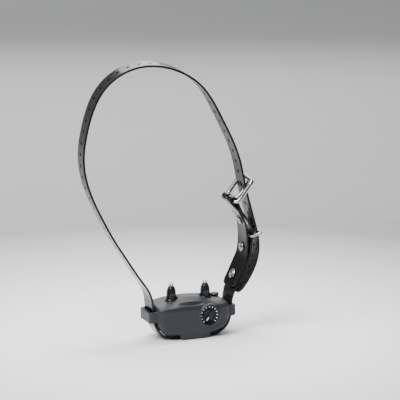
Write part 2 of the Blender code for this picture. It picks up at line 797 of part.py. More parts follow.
def buckle_frame_axes():
    """Along the frame, across it (the heel bar) and out of its face."""
    across = unit(np.array([0.0, math.cos(FRAME_TILT), math.sin(FRAME_TILT)]))
    rise = np.array([math.cos(FRAME_RISE), 0.0, math.sin(FRAME_RISE)])
    along = unit(rise - across * np.dot(rise, across))
    return along, across, np.cross(across, along)


def buckle_frame(material):
    along, across, out = buckle_frame_axes()
    centre = HEEL + across * FRAME_SHIFT
    path, radii = [], []
    for sign, rows in ((-1, FRAME_SIDE), (1, FRAME_SIDE[::-1])):
        for reach, lift, thick, inset in rows:
            half = sign * (FRAME_HALF_WIDTH - inset * FRAME_CORNER)
            raised = along * reach * FRAME_LENGTH + out * lift * BAR_OFFSET
            path.append(centre + raised + across * half)
            radii.append(thick * BAR_RADIUS)
    return add_object("buckle_frame", *tube(path, radii, 10, True, out), material)


def prong_line():
    """The prong's centre line: an eye round the heel bar, then a curve to the tip on the end bar."""
    along, _, out = buckle_frame_axes()
    level = unit(np.array([along[0], 0.0, along[2]]))
    line = []
    for share in np.linspace(0, 1, 13):
        angle = EYE_START - EYE_SPAN * (1 - share)
        line.append(HEEL + EYE_RADIUS * (math.sin(angle) * along + math.cos(angle) * out))
    for reach, lift in PRONG_CURVE:
        line.append(HEEL + level * reach * FRAME_LENGTH + out * lift * BAR_OFFSET)
    return np.array(line)


def prong_crossing(path):
    """The place on the free end that the prong goes through."""
    line = prong_line()
    places = path.arc > path.ear
    best, crossing = math.inf, 0.0
    for a, b in zip(line, line[1:]):
        for share in np.linspace(0, 1, 20):
            away = np.linalg.norm(path.rows[places][:, [0, 2]] - (a + (b - a) * share)[[0, 2]], axis=1)
            if away.min() < best:
                best, crossing = away.min(), path.arc[places][int(np.argmin(away))]
    return crossing


def buckle_prong(material):
    _, across, _ = buckle_frame_axes()
    path = prong_line()
    radii = [PRONG_RADIUS] * (len(path) - 1) + [PRONG_RADIUS * 0.7]
    return add_object("buckle_prong", *tube(path, radii, 8, False, across), material)


def keeper(path, crossing, material):
    """A flat wire loop round the standing strap and the free end."""
    standing = path.nearest(KEEPER_AT, path.fold_to, path.flat_from)
    inner, along, across, out = path.frame(standing)
    free = path.nearest(inner, crossing)
    outer = path.frame(free)[0]
    across = unit(across + path.frame(free)[2])
    out = unit((outer - inner) - across * np.dot(outer - inner, across))
    middle = (inner + outer) / 2
    half_out = np.linalg.norm(outer - inner) / 2 + HALF_THICK + GAP * 1.8 + KEEPER_WIRE
    half_across = HALF_WIDTH + GAP * 2 + KEEPER_WIRE + abs(np.dot(outer - inner, across)) / 2
    ring = []
    for a, b in rounded_outline(half_out, half_across, KEEPER_CORNER, 3):
        ring.append(middle + out * a + across * b)
    return add_object("keeper_ring", *tube(ring, [KEEPER_WIRE] * len(ring), 8, True, unit(along)), material)


# Receiver housing


def read_table(table, share):
    return float(np.interp(share, [row[0] for row in table], [row[1] for row in table]))


def body_top(x, y):
    ridge = HOUSING_TOP * read_table(CROWN, abs(x) / HALF_LENGTH)
    fall = FRONT_FALL if y < 0 else BACK_FALL
    edge = min(HOUSING_TOP - fall, ridge)
    return ridge - (ridge - edge) * (abs(y) / HALF_DEPTH) ** SIDE_FALL


def body_bottom(x, y):
    """The belly follows the strap, and the front and back edges stand higher."""
    hollow = BOTTOM_HOLLOW * (1 - (x / HALF_LENGTH) ** 2) * (1 - (y / HALF_DEPTH) ** 2)
    outer = min(max((abs(y) - CHANNEL_HALF) / BELLY_EDGE, 0.0), 1.0)
    belly, keel = (read_table(table, abs(x) / HALF_LENGTH) for table in (BELLY, KEEL))
    rise = HOUSING_TOP * (belly + (keel - belly) * outer)
    return STRAP_THICKNESS + LAYER_GAP + rise + hollow


def housing_body(material):
    """Rings from the middle of the top, over the edge and under to the middle of the bottom."""
    corner_steps = 4
    outline = rounded_outline(HALF_LENGTH, HALF_DEPTH, BODY_CORNER, corner_steps)
    gaps = [math.dist(a, b) for a, b in zip(outline, outline[1:] + outline[:1])]
    parts = [max(1, int(round(gap / BODY_STEP))) for gap in gaps]

    def ring(inset, level):
        half_x, half_y = HALF_LENGTH - inset, HALF_DEPTH - inset
        corners = rounded_outline(half_x, half_y, BODY_CORNER - inset * 0.6, corner_steps)
        dense = []
        for (x, y), (nx, ny), count in zip(corners, corners[1:] + corners[:1], parts):
            for m in range(count):
                dense.append((x + (nx - x) * m / count, y + (ny - y) * m / count))
        return [(x, y, level(x, y)) for x, y in dense]

    def top(drop):
        return lambda x, y: body_top(x, y) - drop

    def bottom(lift):
        return lambda x, y: body_bottom(x, y) + lift

    rings = []
    base = ring(0.0, top(0.0))
    for share in (0.25, 0.5, 0.72, 0.86):
        rings.append([(x * share, y * share, body_top(x * share, y * share)) for x, y, _ in base])
    rings.append(ring(TOP_ROUND, top(0.0)))
    rings.append(ring(TOP_ROUND * 0.3, top(TOP_ROUND * 0.3)))
    rings.append(ring(0.0, top(TOP_ROUND)))
    rings.append(ring(0.0, bottom(BOTTOM_ROUND)))
    rings.append(ring(BOTTOM_ROUND * 0.3, bottom(BOTTOM_ROUND * 0.3)))
    rings.append(ring(BOTTOM_ROUND, bottom(0.0)))
    for share in (0.75, 0.5, 0.25):
        rings.append([(x * share, y * share, body_bottom(x * share, y * share)) for x, y, _ in base])
    count = len(base)
    points = [p for one in rings for p in one]
    faces = []
    for r in range(len(rings) - 1):
        for k in range(count):
            n = (k + 1) % count
            a, b = r * count, (r + 1) * count
            faces.append((a + k, b + k, b + n, a + n))
    top_middle, bottom_middle = len(points), len(points) + 1
    points += [(0, 0, body_top(0, 0)), (0, 0, body_bottom(0, 0))]
    last = (len(rings) - 1) * count
    for k in range(count):
        n = (k + 1) % count
        faces.append((top_middle, k, n))
        faces.append((bottom_middle, last + n, last + k))
    return add_object("housing", points, faces, material)


def ear(sign):
    """The band round the strap at one end, as the outside of the ear."""
    inner_end = HALF_LENGTH - EAR_ROOT
    half_y = CHANNEL_HALF + WALL * 1.2
    outline = rounded_outline(EAR_REACH - inner_end, half_y, EAR_CORNER, 4)
    chosen = [(inner_end + x, y) for x, y in outline if x > 0]
    chosen = [(inner_end, -half_y)] + chosen + [(inner_end, half_y)]
    return flat_prism([(sign * x, y) for x, y in chosen][::sign], EAR_LOW, EAR_LOW + EAR_HEIGHT)


def ear_slot(sign):
    outline = rounded_outline(EAR_SLOT / 2, CHANNEL_HALF + EAR_SLOT_MORE, EAR_SLOT_CORNER, 3)
    chosen = [(sign * (EAR_MIDDLE + x), y) for x, y in outline][::sign]
    return flat_prism(chosen, EAR_LOW - EAR_SLOT_REACH, EAR_LOW + EAR_HEIGHT + EAR_SLOT_REACH)


def flat_prism(outline, low, high):
    """An outline in x and y, anticlockwise from above, between two heights."""
    count = len(outline)
    points = [(x, y, low) for x, y in outline] + [(x, y, high) for x, y in outline]
    faces = [tuple(range(count))[::-1], tuple(range(count, 2 * count))]
    for k in range(count):
        n = (k + 1) % count
        faces.append((k, n, n + count, k + count))
    return points, faces


def lobe_outline():
    right = [(LOBE_HALF * share, HOUSING_TOP * height) for share, height in LOBE]
    left = [(-x, z) for x, z in reversed(right)]
    return left + right + [(LOBE_HALF, LOBE_TOP), (-LOBE_HALF, LOBE_TOP)]


def housing(material):
    body = housing_body(material)
    across = np.array([1.0, 0, 0])
    up, forward = (0, 0, 1), (0, -1, 0)
    for side, sign in (("left", -1), ("right", 1)):
        combine(body, add_cutter(f"ear_{side}", *ear(sign)), "UNION")
        combine(body, add_cutter(f"ear_slot_{side}", *ear_slot(sign)), "DIFFERENCE")
    outer = HALF_DEPTH - LOBE_INSET
    for side, low, high in (("front", -outer, -CHANNEL_HALF), ("back", CHANNEL_HALF, outer)):
        combine(body, add_cutter(f"lobe_{side}", *plate(lobe_outline(), low, high)), "UNION")
    x, z = DIAL_CENTRE
    boss = [(DIAL_RADIUS, 0.0), (DIAL_RADIUS, BOSS_LENGTH)]
    boss += [(DIAL_RADIUS - DIAL_CHAMFER, BOSS_LENGTH + DIAL_PROUD)]
    boss_shape = turned(boss, (x, BOSS_LENGTH - HALF_DEPTH, z), forward, across, 32)
    combine(body, add_cutter("dial_boss", *boss_shape), "UNION")
    pocket = [(DIAL_RADIUS - DIAL_RIM * 1.2, -DIAL_RECESS), (DIAL_RADIUS - DIAL_RIM, DIAL_PROUD * 3)]
    pocket_shape = turned(pocket, (x, -HALF_DEPTH, z), forward, across, 32)
    combine(body, add_cutter("dial_pocket", *pocket_shape), "DIFFERENCE")
    contact_seat = [(CONTACT_SEAT, 0.0), (CONTACT_SEAT, SEAT_CUT)]
    for side, sign in (("left", -1), ("right", 1)):
        shape = turned(contact_seat, (sign * CONTACT_SPACING / 2, 0, CONTACT_FLOOR), up, across, 20)
        combine(body, add_cutter(f"contact_seat_{side}", *shape), "DIFFERENCE")
    plug_seat = [(PLUG_RADIUS + PLUG_SEAT_GAP, 0.0), (PLUG_RADIUS + PLUG_SEAT_GAP, SEAT_CUT)]
    combine(body, add_cutter("plug_seat", *turned(plug_seat, PLUG_AT, up, across, 20)), "DIFFERENCE")
    return body


# Dial, contacts and plug


def bar_outline(half_length, half_width):
    return rounded_outline(half_length, half_width, half_width * 0.6, 3)


def dial(knob_material, pointer_material):
    """The knob and its pointer on an empty that stands on the axis, at the back of the knob."""
    across = np.array([1.0, 0, 0])
    face = KNOB_DEPTH * KNOB_RIM[-1][1]
    profile = [(0, 0)]
    profile += [(KNOB_RADIUS * (1 - inset), KNOB_DEPTH * height) for inset, height in KNOB_RIM]
    profile += [(0, face)]
    knob = add_object("dial_knob", *turned(profile, (0, 0, 0), (0, -1, 0), across, 24), knob_material)
    grip_front = KNOB_DEPTH + GRIP_PROUD
    grip_plate = plate(bar_outline(KNOB_RADIUS * 0.93, GRIP_HALF_WIDTH), -grip_front, -face / 2)
    grip = add_cutter("dial_grip", *grip_plate)
    combine(knob, grip, "UNION")
    pointer_back = -grip_front - GAP
    pointer_outline = bar_outline(POINTER_HALF_LENGTH, POINTER_HALF_WIDTH)
    pointer_plate = plate(pointer_outline, pointer_back - POINTER_THICKNESS, pointer_back)
    pointer = add_object("dial_pointer", *pointer_plate, pointer_material)
    reach = KNOB_RADIUS * 0.60
    pointer.location = (-reach * math.cos(GRIP_ANGLE), 0, -reach * math.sin(GRIP_ANGLE))
    for item in (grip, pointer):
        item.rotation_euler = (0, -GRIP_ANGLE, 0)
    axle = bpy.data.objects.new("dial_axle", None)
    bpy.context.scene.collection.objects.link(axle)
    axle.location = (DIAL_CENTRE[0], DIAL_RECESS - HALF_DEPTH - GAP, DIAL_CENTRE[1])
    for item in (knob, grip, pointer):
        item.parent = axle


def contact(side, sign, steel, rubber):
    """A stud on its foot, and the insulating sleeve round it as a shell with a bore."""
    centre = (sign * CONTACT_SPACING / 2, 0, CONTACT_FLOOR + GAP)
    across = np.array([1.0, 0, 0])
    up = (0, 0, 1)
    stud = [(0, 0), (STUD_FOOT_RADIUS, 0), (STUD_FOOT_RADIUS, STUD_FOOT)]
    stud += [(share * STUD_RADIUS, height * CONTACT_HEIGHT) for share, height in STUD]
    add_object(f"contact_stud_{side}", *turned(stud, centre, up, across, 14), steel)
    bore = STUD_RADIUS * STUD[0][0] + GAP * 1.6
    sleeve = [(bore, SLEEVE[0][1] * CONTACT_HEIGHT)]
    sleeve += [(share * SLEEVE_RADIUS, height * CONTACT_HEIGHT) for share, height in SLEEVE]
    sleeve += [(bore, SLEEVE_MOUTH * CONTACT_HEIGHT)]
    sides = 18
    points, faces = turned(sleeve, centre, up, across, sides)
    faces = faces[:-2]
    last = (len(sleeve) - 1) * sides
    for k in range(sides):
        n = (k + 1) % sides
        faces.append((last + k, last + n, n, k))
    add_object(f"contact_sleeve_{side}", points, faces, rubber)


def plug(material):
    """The rubber cap on the charging port, with its pull tab."""
    across = np.array([1.0, 0, 0])
    profile = [(share * PLUG_RADIUS, height * PLUG_HEIGHT) for share, height in PLUG]
    centre = np.array(PLUG_AT) + np.array([0, 0, GAP])
    cap = add_object("port_plug", *turned(profile, centre, (0, 0, 1), across, 18), material)
    tab = rounded_outline(TAB_HALF_LENGTH, TAB_HALF_WIDTH, TAB_HALF_WIDTH * 0.6, 2)
    tab_x, tab_y = centre[0] + PLUG_RADIUS * 0.55, centre[1] + PLUG_RADIUS * 0.75
    outline = [(tab_x + x, tab_y + y) for x, y in tab]
    low, high = centre[2] + PLUG_HEIGHT * 0.56, centre[2] + PLUG_HEIGHT * 0.80
    combine(cap, add_cutter("plug_tab", *flat_prism(outline, low, high)), "UNION")


def main():
    clear_scene()
    strap_black = paint("coated_strap_black", (0.012, 0.012, 0.013), 0.28)
    slate = paint("slate_plastic", (0.045, 0.052, 0.060), 0.55)
    knob_black = paint("dial_black", (0.008, 0.009, 0.014), 0.35)
    white = paint("pointer_white", (0.85, 0.85, 0.85), 0.5)
    rubber = paint("contact_rubber_black", (0.010, 0.010, 0.011), 0.40)
    plug_rubber = paint("plug_rubber_black", (0.012, 0.013, 0.014), 0.50)
    steel = paint("stud_steel", (0.72, 0.71, 0.69), 0.22, 1.0)
    nickel = paint("nickel_plate", (0.62, 0.61, 0.59), 0.20, 1.0)
    path = StrapPath()
    spots = rivet_spots(path)
    crossing = prong_crossing(path)
    add_object("strap", *strap_body(path, spots, crossing), strap_black)
    for number, pair in enumerate(spots, 1):
        rivet(f"rivet_{number}", path, pair, nickel)
    buckle_frame(nickel)
    buckle_prong(nickel)
    keeper(path, crossing, nickel)
    housing(slate)
    dial(knob_black, white)
    for side, sign in (("left", -1), ("right", 1)):
        contact(side, sign, steel, rubber)
    plug(plug_rubber)


main()
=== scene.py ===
"""The looks of the anti-bark collar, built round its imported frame."""

import math

import bpy
import numpy as np
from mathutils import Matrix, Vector


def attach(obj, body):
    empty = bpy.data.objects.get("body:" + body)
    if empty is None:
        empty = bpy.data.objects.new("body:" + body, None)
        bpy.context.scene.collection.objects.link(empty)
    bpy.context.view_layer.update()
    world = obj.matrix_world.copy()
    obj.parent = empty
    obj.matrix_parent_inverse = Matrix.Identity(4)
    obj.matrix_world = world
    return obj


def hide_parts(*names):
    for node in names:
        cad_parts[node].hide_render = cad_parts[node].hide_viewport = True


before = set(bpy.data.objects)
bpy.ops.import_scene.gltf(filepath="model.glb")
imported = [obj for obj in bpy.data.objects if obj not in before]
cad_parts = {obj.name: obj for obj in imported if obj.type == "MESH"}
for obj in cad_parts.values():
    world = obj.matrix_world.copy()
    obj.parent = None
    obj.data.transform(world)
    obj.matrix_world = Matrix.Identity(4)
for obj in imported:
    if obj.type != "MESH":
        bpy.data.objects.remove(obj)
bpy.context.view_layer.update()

# Sizes shared with the frame, in metres
LOOP_HEIGHT = 0.250
STRAP_WIDTH = 0.019
STRAP_THICKNESS = 0.0019
HOLE_PITCH = 0.01015
HOLE_DIAMETER = 0.0032
HOUSING_LENGTH = 0.070
HOUSING_DEPTH = 0.035
HOUSING_TOP = 0.0372
EAR_HEIGHT = 0.0098
EAR_LOW = 0.0172
CONTACT_HEIGHT = 0.0180
CONTACT_SPACING = 0.033
DIAL_RADIUS = 0.0105
KNOB_RADIUS = 0.0062
HEEL_RADIUS = 0.0015
BAR_RADIUS = 0.0020
FRAME_LENGTH = 0.0245
PRONG_RADIUS = 0.0011
KEEPER_WIRE = 0.00115
RIVET_CAP_RADIUS = 0.0044
RIVET_POST_RADIUS = 0.0013
PLUG_RADIUS = 0.0045
PLUG_HEIGHT = 0.0046
GAP = 0.0003
LAYER_GAP = 0.0004
EDGE_GAP = 0.0011
FOLD_SLACK = 0.00045
RIVET_LIFT = 0.0006
CHANNEL_GAP = 0.0007
EAR_PLAY = 0.0014
WALL = 0.0025
HALF_LENGTH = HOUSING_LENGTH / 2
HALF_DEPTH = HOUSING_DEPTH / 2
HALF_WIDTH = STRAP_WIDTH / 2
HALF_THICK = STRAP_THICKNESS / 2
FOLD_RADIUS = HEEL_RADIUS + FOLD_SLACK + HALF_THICK
EYE_RADIUS = HEEL_RADIUS + GAP * 1.2 + PRONG_RADIUS
FRAME_HALF_WIDTH = HALF_WIDTH + EDGE_GAP + BAR_RADIUS
SLOT_HALF_WIDTH = PRONG_RADIUS + LAYER_GAP * 1.5
CHANNEL_HALF = HALF_WIDTH + CHANNEL_GAP
EAR_SLOT = STRAP_THICKNESS + 2 * EAR_PLAY
EAR_MIDDLE = HALF_LENGTH + EAR_SLOT / 2
EAR_REACH = HALF_LENGTH + EAR_SLOT + WALL
HEEL = np.array([0.1516, -0.0264, 0.4976]) * LOOP_HEIGHT
FRAME_TILT = math.radians(5.5)
FRAME_RISE = math.radians(55.4)
FRAME_SHIFT = 0.0005
BAR_OFFSET = 0.0029
FRAME_CORNER = 0.0020
EYE_SPAN = math.radians(215)
EYE_START = math.radians(35)

# Strap paths as shares of LOOP_HEIGHT, with the turn and the tilt of the width in degrees.
# Columns: x, y, z, turn, tilt
SHORT_END = [
    (0.1520, -0.0030, 0.1700, 7.0, 1.0),
    (0.1652, -0.0042, 0.1892, 8.5, 1.0),
    (0.1736, -0.0050, 0.2064, 8.5, 1.2),
    (0.1848, -0.0062, 0.2312, 8.5, 1.5),
    (0.1968, -0.0076, 0.2584, 8.0, 1.8),
    (0.2060, -0.0092, 0.2832, 5.2, 2.2),
    (0.2106, -0.0120, 0.3216, 3.0, 2.8),
    (0.2086, -0.0150, 0.3660, 1.8, 3.4),
    (0.2058, -0.0164, 0.3864, 1.2, 3.8),
    (0.1994, -0.0186, 0.4128, 0.6, 4.3),
    (0.1884, -0.0206, 0.4320, 0.4, 4.8),
    (0.1748, -0.0228, 0.4564, 0.2, 5.3),
]
STANDING = [
    (0.1856, -0.0230, 0.4540, 0.2, 5.2),
    (0.2042, -0.0206, 0.4268, 0.6, 4.7),
    (0.2200, -0.0184, 0.4020, 1.0, 4.2),
    (0.2308, -0.0168, 0.3820, 1.5, 3.8),
    (0.2316, -0.0150, 0.3620, 1.8, 3.5),
    (0.2276, -0.0128, 0.3368, 2.4, 3.0),
    (0.2224, -0.0100, 0.2980, 4.5, 2.4),
    (0.2096, -0.0078, 0.2624, 8.0, 1.8),
    (0.1914, -0.0056, 0.2236, 8.5, 1.4),
    (0.1756, -0.0042, 0.1904, 8.0, 1.0),
    (0.1600, -0.0026, 0.1500, 4.5, 0.6),
]
LOOP = [
    (-0.1579, -0.0040, 0.1614, 0.5, 2.0),
    (-0.1999, -0.0056, 0.2333, -1.5, 1.1),
    (-0.2462, -0.0045, 0.3044, -3.1, 0.4),
    (-0.2890, -0.0020, 0.3725, -4.1, 0.1),
    (-0.3273, 0.0009, 0.4430, -4.7, 0.1),
    (-0.3640, 0.0036, 0.5200, -5.0, 0.5),
    (-0.3906, 0.0050, 0.5960, -5.0, 1.0),
    (-0.4020, 0.0042, 0.6745, -4.8, 1.6),
    (-0.3932, 0.0005, 0.7602, -4.5, 2.4),
    (-0.3738, -0.0046, 0.8376, -4.2, 3.1),
    (-0.3393, -0.0114, 0.9113, -4.0, 3.7),
    (-0.2788, -0.0195, 0.9695, -3.7, 4.2),
    (-0.2040, -0.0264, 0.9982, -3.5, 4.5),
    (-0.1256, -0.0312, 0.9977, -3.4, 4.5),
    (-0.0444, -0.0337, 0.9708, -3.1, 4.2),
    (0.0210, -0.0340, 0.9261, -2.9, 3.8),
    (0.0699, -0.0324, 0.8633, -2.5, 3.3),
    (0.1109, -0.0302, 0.7887, -2.2, 2.6),
    (0.1472, -0.0286, 0.7175, -1.9, 2.0),
    (0.1759, -0.0273, 0.6429, -1.6, 1.3),
    (0.1952, -0.0264, 0.5599, -1.4, 0.7),
    (0.2147, -0.0263, 0.4825, -1.3, 0.2),
    (0.2364, -0.0268, 0.4055, -1.4, -0.2),
    (0.2513, -0.0276, 0.3230, -1.6, -0.4),
    (0.2349, -0.0276, 0.2437, -2.1, -0.3),
    (0.1905, -0.0258, 0.1699, -2.9, 0.1),
    (0.1752, -0.0250, 0.1500, -3.0, 0.1),
]

# The same columns, with x and y as shares of EAR_MIDDLE and z as a share of HOUSING_TOP
RIGHT_EAR = [
    (1.0254, -0.0067, 0.7796, 1.0, 0.2),
    (1.0214, 0.0000, 0.6317, 0.0, 0.0),
    (1.0187, 0.0000, 0.4973, 0.0, 0.0),
    (0.9920, 0.0000, 0.3629, 0.0, 0.0),
    (0.9317, 0.0000, 0.2339, 0.0, 0.0),
    (0.8246, 0.0000, 0.1263, 0.0, 0.0),
    (0.6827, 0.0000, 0.0524, 0.0, 0.0),
]
LEFT_EAR = [
    (-0.6024, 0.0000, 0.0390, 0.0, 0.0),
    (-0.7175, 0.0000, 0.0806, 0.0, 0.0),
    (-0.8112, 0.0000, 0.1559, 0.0, 0.0),
    (-0.8782, 0.0000, 0.2500, 0.0, 0.0),
    (-0.9478, 0.0000, 0.3629, 0.0, 0.0),
    (-0.9799, -0.0027, 0.4839, 0.5, 0.4),
    (-0.9880, -0.0080, 0.6048, 1.5, 1.2),
    (-1.0174, -0.0174, 0.8334, 1.4, 1.8),
]
LEFT_EAR_ROW = 6
FLAT_RIGHT = HALF_LENGTH * 0.586
FLAT_LEFT = -HALF_LENGTH * 0.543
EAR_TO_FIRST_HOLE = 0.070
LAST_HOLE_TO_TIP = 0.022
PRONG_HOLE_GROWTH = 1.15
PRONG_HOLE_STRETCH = 0.0017
PRONG_HOLE_PULL = 0.0012
RIVET_HEIGHTS = (0.212, 0.312, 0.418)
RIVET_HOLE_RADIUS = 0.0020
SLOT_BEFORE_FOLD = 0.0044
SLOT_AFTER_FOLD = 0.0085
SHORT_TIP_ROUND = 0.0050
FREE_TIP_ROUND = 0.0075
TIP_SHARES = (0.0, 0.02, 0.06, 0.13, 0.23, 0.36, 0.52, 0.74, 1.0)
KEEPER_AT = np.array([0.232, -0.0155, 0.366]) * LOOP_HEIGHT
KEEPER_CORNER = 0.0016

# Finer steps than the frame's
SAMPLE_STEP = 0.0002
PLAIN_STEP = 0.0020
CURVE_STEP = 0.0014
FOLD_STEP = math.radians(9)
HOLE_STRIP = 0.0026
RIVET_STRIP = 0.0034
HOLE_SIDES = 20
HOLE_ROWS = 5
STRAP_ROUND = 0.00034
RIVET_ROUND = 0.00028

# Columns: share of FRAME_LENGTH, share of BAR_OFFSET
PRONG_CURVE = [(0.1, 1.5), (0.19, 2.02), (0.33, 2.36), (0.52, 2.52), (0.72, 2.48), (0.98, 2.26), (1.09, 2.14)]

# Columns: share of FRAME_LENGTH, share of BAR_OFFSET, share of BAR_RADIUS, inset in shares of FRAME_CORNER
FRAME_SIDE = [
    (0.000, 0.00, HEEL_RADIUS / BAR_RADIUS, 1.50),
    (0.004, 0.08, 0.78, 0.72),
    (0.034, 0.46, 0.86, 0.20),
    (0.102, 0.86, 1.00, 0.00),
    (0.200, 1.00, 1.00, 0.00),
    (0.800, 1.00, 1.00, 0.00),
    (0.890, 1.00, 1.00, 0.00),
    (0.966, 1.00, 0.98, 0.42),
    (1.000, 1.00, 0.95, 1.45),
    (1.000, 1.00, 0.95, 4.40),
]

# Housing
BODY_CORNER = 0.0068
TOP_ROUND = 0.0022
BOTTOM_ROUND = 0.0024
FRONT_FALL = 0.0079
BACK_FALL = 0.0035
SIDE_FALL = 2.4
BOTTOM_HOLLOW = 0.0005
BELLY_EDGE = 0.0050
BODY_STEP = 0.0012
EAR_ROOT = 0.0040
EAR_CORNER = 0.0036
EAR_SLOT_CORNER = 0.0012
EAR_SLOT_MORE = 0.0004
EAR_SLOT_REACH = 0.0040
LOBE_HALF = 0.0148
LOBE_TOP = 0.0090
LOBE_INSET = 0.0001

# Columns: share of half the housing's length, share of HOUSING_TOP
CROWN = [(0, 1), (0.25, 0.985), (0.45, 0.94), (0.6, 0.89), (0.7, 0.876), (0.86, 0.862), (1, 0.83)]
KEEL = [(0, 0), (0.3, 0), (0.45, 0.065), (0.6, 0.085), (0.69, 0.109), (0.77, 0.142), (0.86, 0.194)]
KEEL += [(0.92, 0.251), (0.96, 0.317), (1, 0.412)]
BELLY = [(0, 0), (0.6, 0), (0.69, 0.033), (0.77, 0.085), (0.86, 0.166), (0.92, 0.237), (0.96, 0.312)]
BELLY += [(1, 0.412)]

# Columns: share of LOBE_HALF, share of HOUSING_TOP
LOBE = [(0.62, 0), (0.86, 0.034), (0.96, 0.078), (1, 0.149)]

# The faint oval on the top, and the crease in front of it with its raised lip
OVAL_HALF_X = 0.0100
OVAL_HALF_Y = 0.0062
OVAL_RISE = 0.00022
OVAL_SCALE = 0.0080
OVAL_EDGE = 0.0009
CREASE_FRONT = -0.0146
CREASE_BOW = 0.0010
CREASE_MIDDLE = 0.0005
CREASE_BEND = 0.0130
CREASE_LEFT = 0.0030
CREASE_HALF = 0.0135
CREASE_DEPTH = 0.00150
CREASE_WIDTH = 0.00095
LIP_HEIGHT = 0.00055
LIP_BEHIND = 0.0020
LIP_WIDTH = 0.0010

# Dial, contacts and plug
DIAL_FROM_END = 0.0211
DIAL_FROM_TOP = 0.0165
DIAL_CENTRE = (HALF_LENGTH - DIAL_FROM_END, HOUSING_TOP - DIAL_FROM_TOP)
DIAL_PROUD = 0.0011
DIAL_CHAMFER = 0.0009
DIAL_RIM = 0.0014
DIAL_RECESS = 0.0026
BOSS_LENGTH = 0.0090
KNOB_DEPTH = 0.0020
FACE_GAP = 0.00012
FACE_SLOPE = 0.0009
MARKS = 13
FIRST_MARK = 225
MARK_STEP = 22.5
MARK_AWAY = 0.0077
MARK_SINK = 0.00052
MARK_HALF_LENGTH = 0.00072
MARK_HALF_WIDTH = 0.00036
MARK_CORNER = 0.00020
MARK_FOOT = 0.0002
MARK_PROUD = 0.00007
GRIP_ANGLE = math.radians(52)
CONTACT_SINK = 0.0052
CONTACT_FLOOR = HOUSING_TOP - CONTACT_SINK
CONTACT_SEAT = 0.0058
SEAT_CUT = 0.0060
PLUG_FROM_END = 0.0060
PLUG_FROM_BACK = 0.0090
PLUG_SINK = 0.0072
PLUG_AT = (HALF_LENGTH - PLUG_FROM_END, HALF_DEPTH - PLUG_FROM_BACK, HOUSING_TOP - PLUG_SINK)
PLUG_SEAT_GAP = 0.0006
VOXEL = 0.00042
CROWN_EASE = 0.05
KEEL_EASE = 0.03
TOP_RINGS = 38
BEND_RINGS = 7
BOTTOM_RINGS = 26

# Buckle
FRAME_BEND = 0.0012
FRAME_STEP = 0.0006
PRONG_STEP = 0.0005
TIP_TAPER = 6
ROOT_TAPER = 4

# Studio and camera
FLOOR_HALF = 9.0
FLOOR_DROP = 0.0001
SWEEP_FROM = 2.6
SWEEP_RADIUS = 1.6
BACKDROP_TOP = 6.0
# Radii of the painted pool of light on the floor: where the pale ends and where the grey begins.
LIGHT_POOL_INNER = 0.16
LIGHT_POOL_OUTER = 0.48
SKY_LEAN = (-0.20, 0.20, 0.96)
SKY_RANGE = {"From Min": -0.20, "From Max": 1.0, "To Min": 0.06, "To Max": 0.48}
CAMERA_TURN = math.radians(-22.5)
CAMERA_RISE = math.radians(11.3)
CAMERA_AWAY = 1.880
CAMERA_TARGET = np.array([0.0190926, 0.0180199, 0.1198810])
SENSOR = 36.0
FOCAL_PIXELS = 2068
PHOTO_PIXELS = 400

# Columns: name, place, aim, power, size, colour
LAMPS = [
    ("lamp_key", (-1.0, -0.5, 1.5), (0.0, 0.0, 0.05), 56.0, 1.0, (1.0, 0.99, 0.97)),
    ("lamp_top", (0.1, 0.3, 1.6), (0.0, 0.0, 0.0), 30.0, 0.7, (1.0, 1.0, 1.0)),
    ("lamp_back", (0.6, 1.5, 1.1), (0.0, 0.0, 0.10), 16.0, 1.2, (1.0, 1.0, 1.0)),
]

RIGHT = np.array([1.0, 0.0, 0.0])
FORWARD = np.array([0.0, -1.0, 0.0])
UP = np.array([0.0, 0.0, 1.0])


def unit(vector):
    return vector / np.linalg.norm(vector)


# Materials


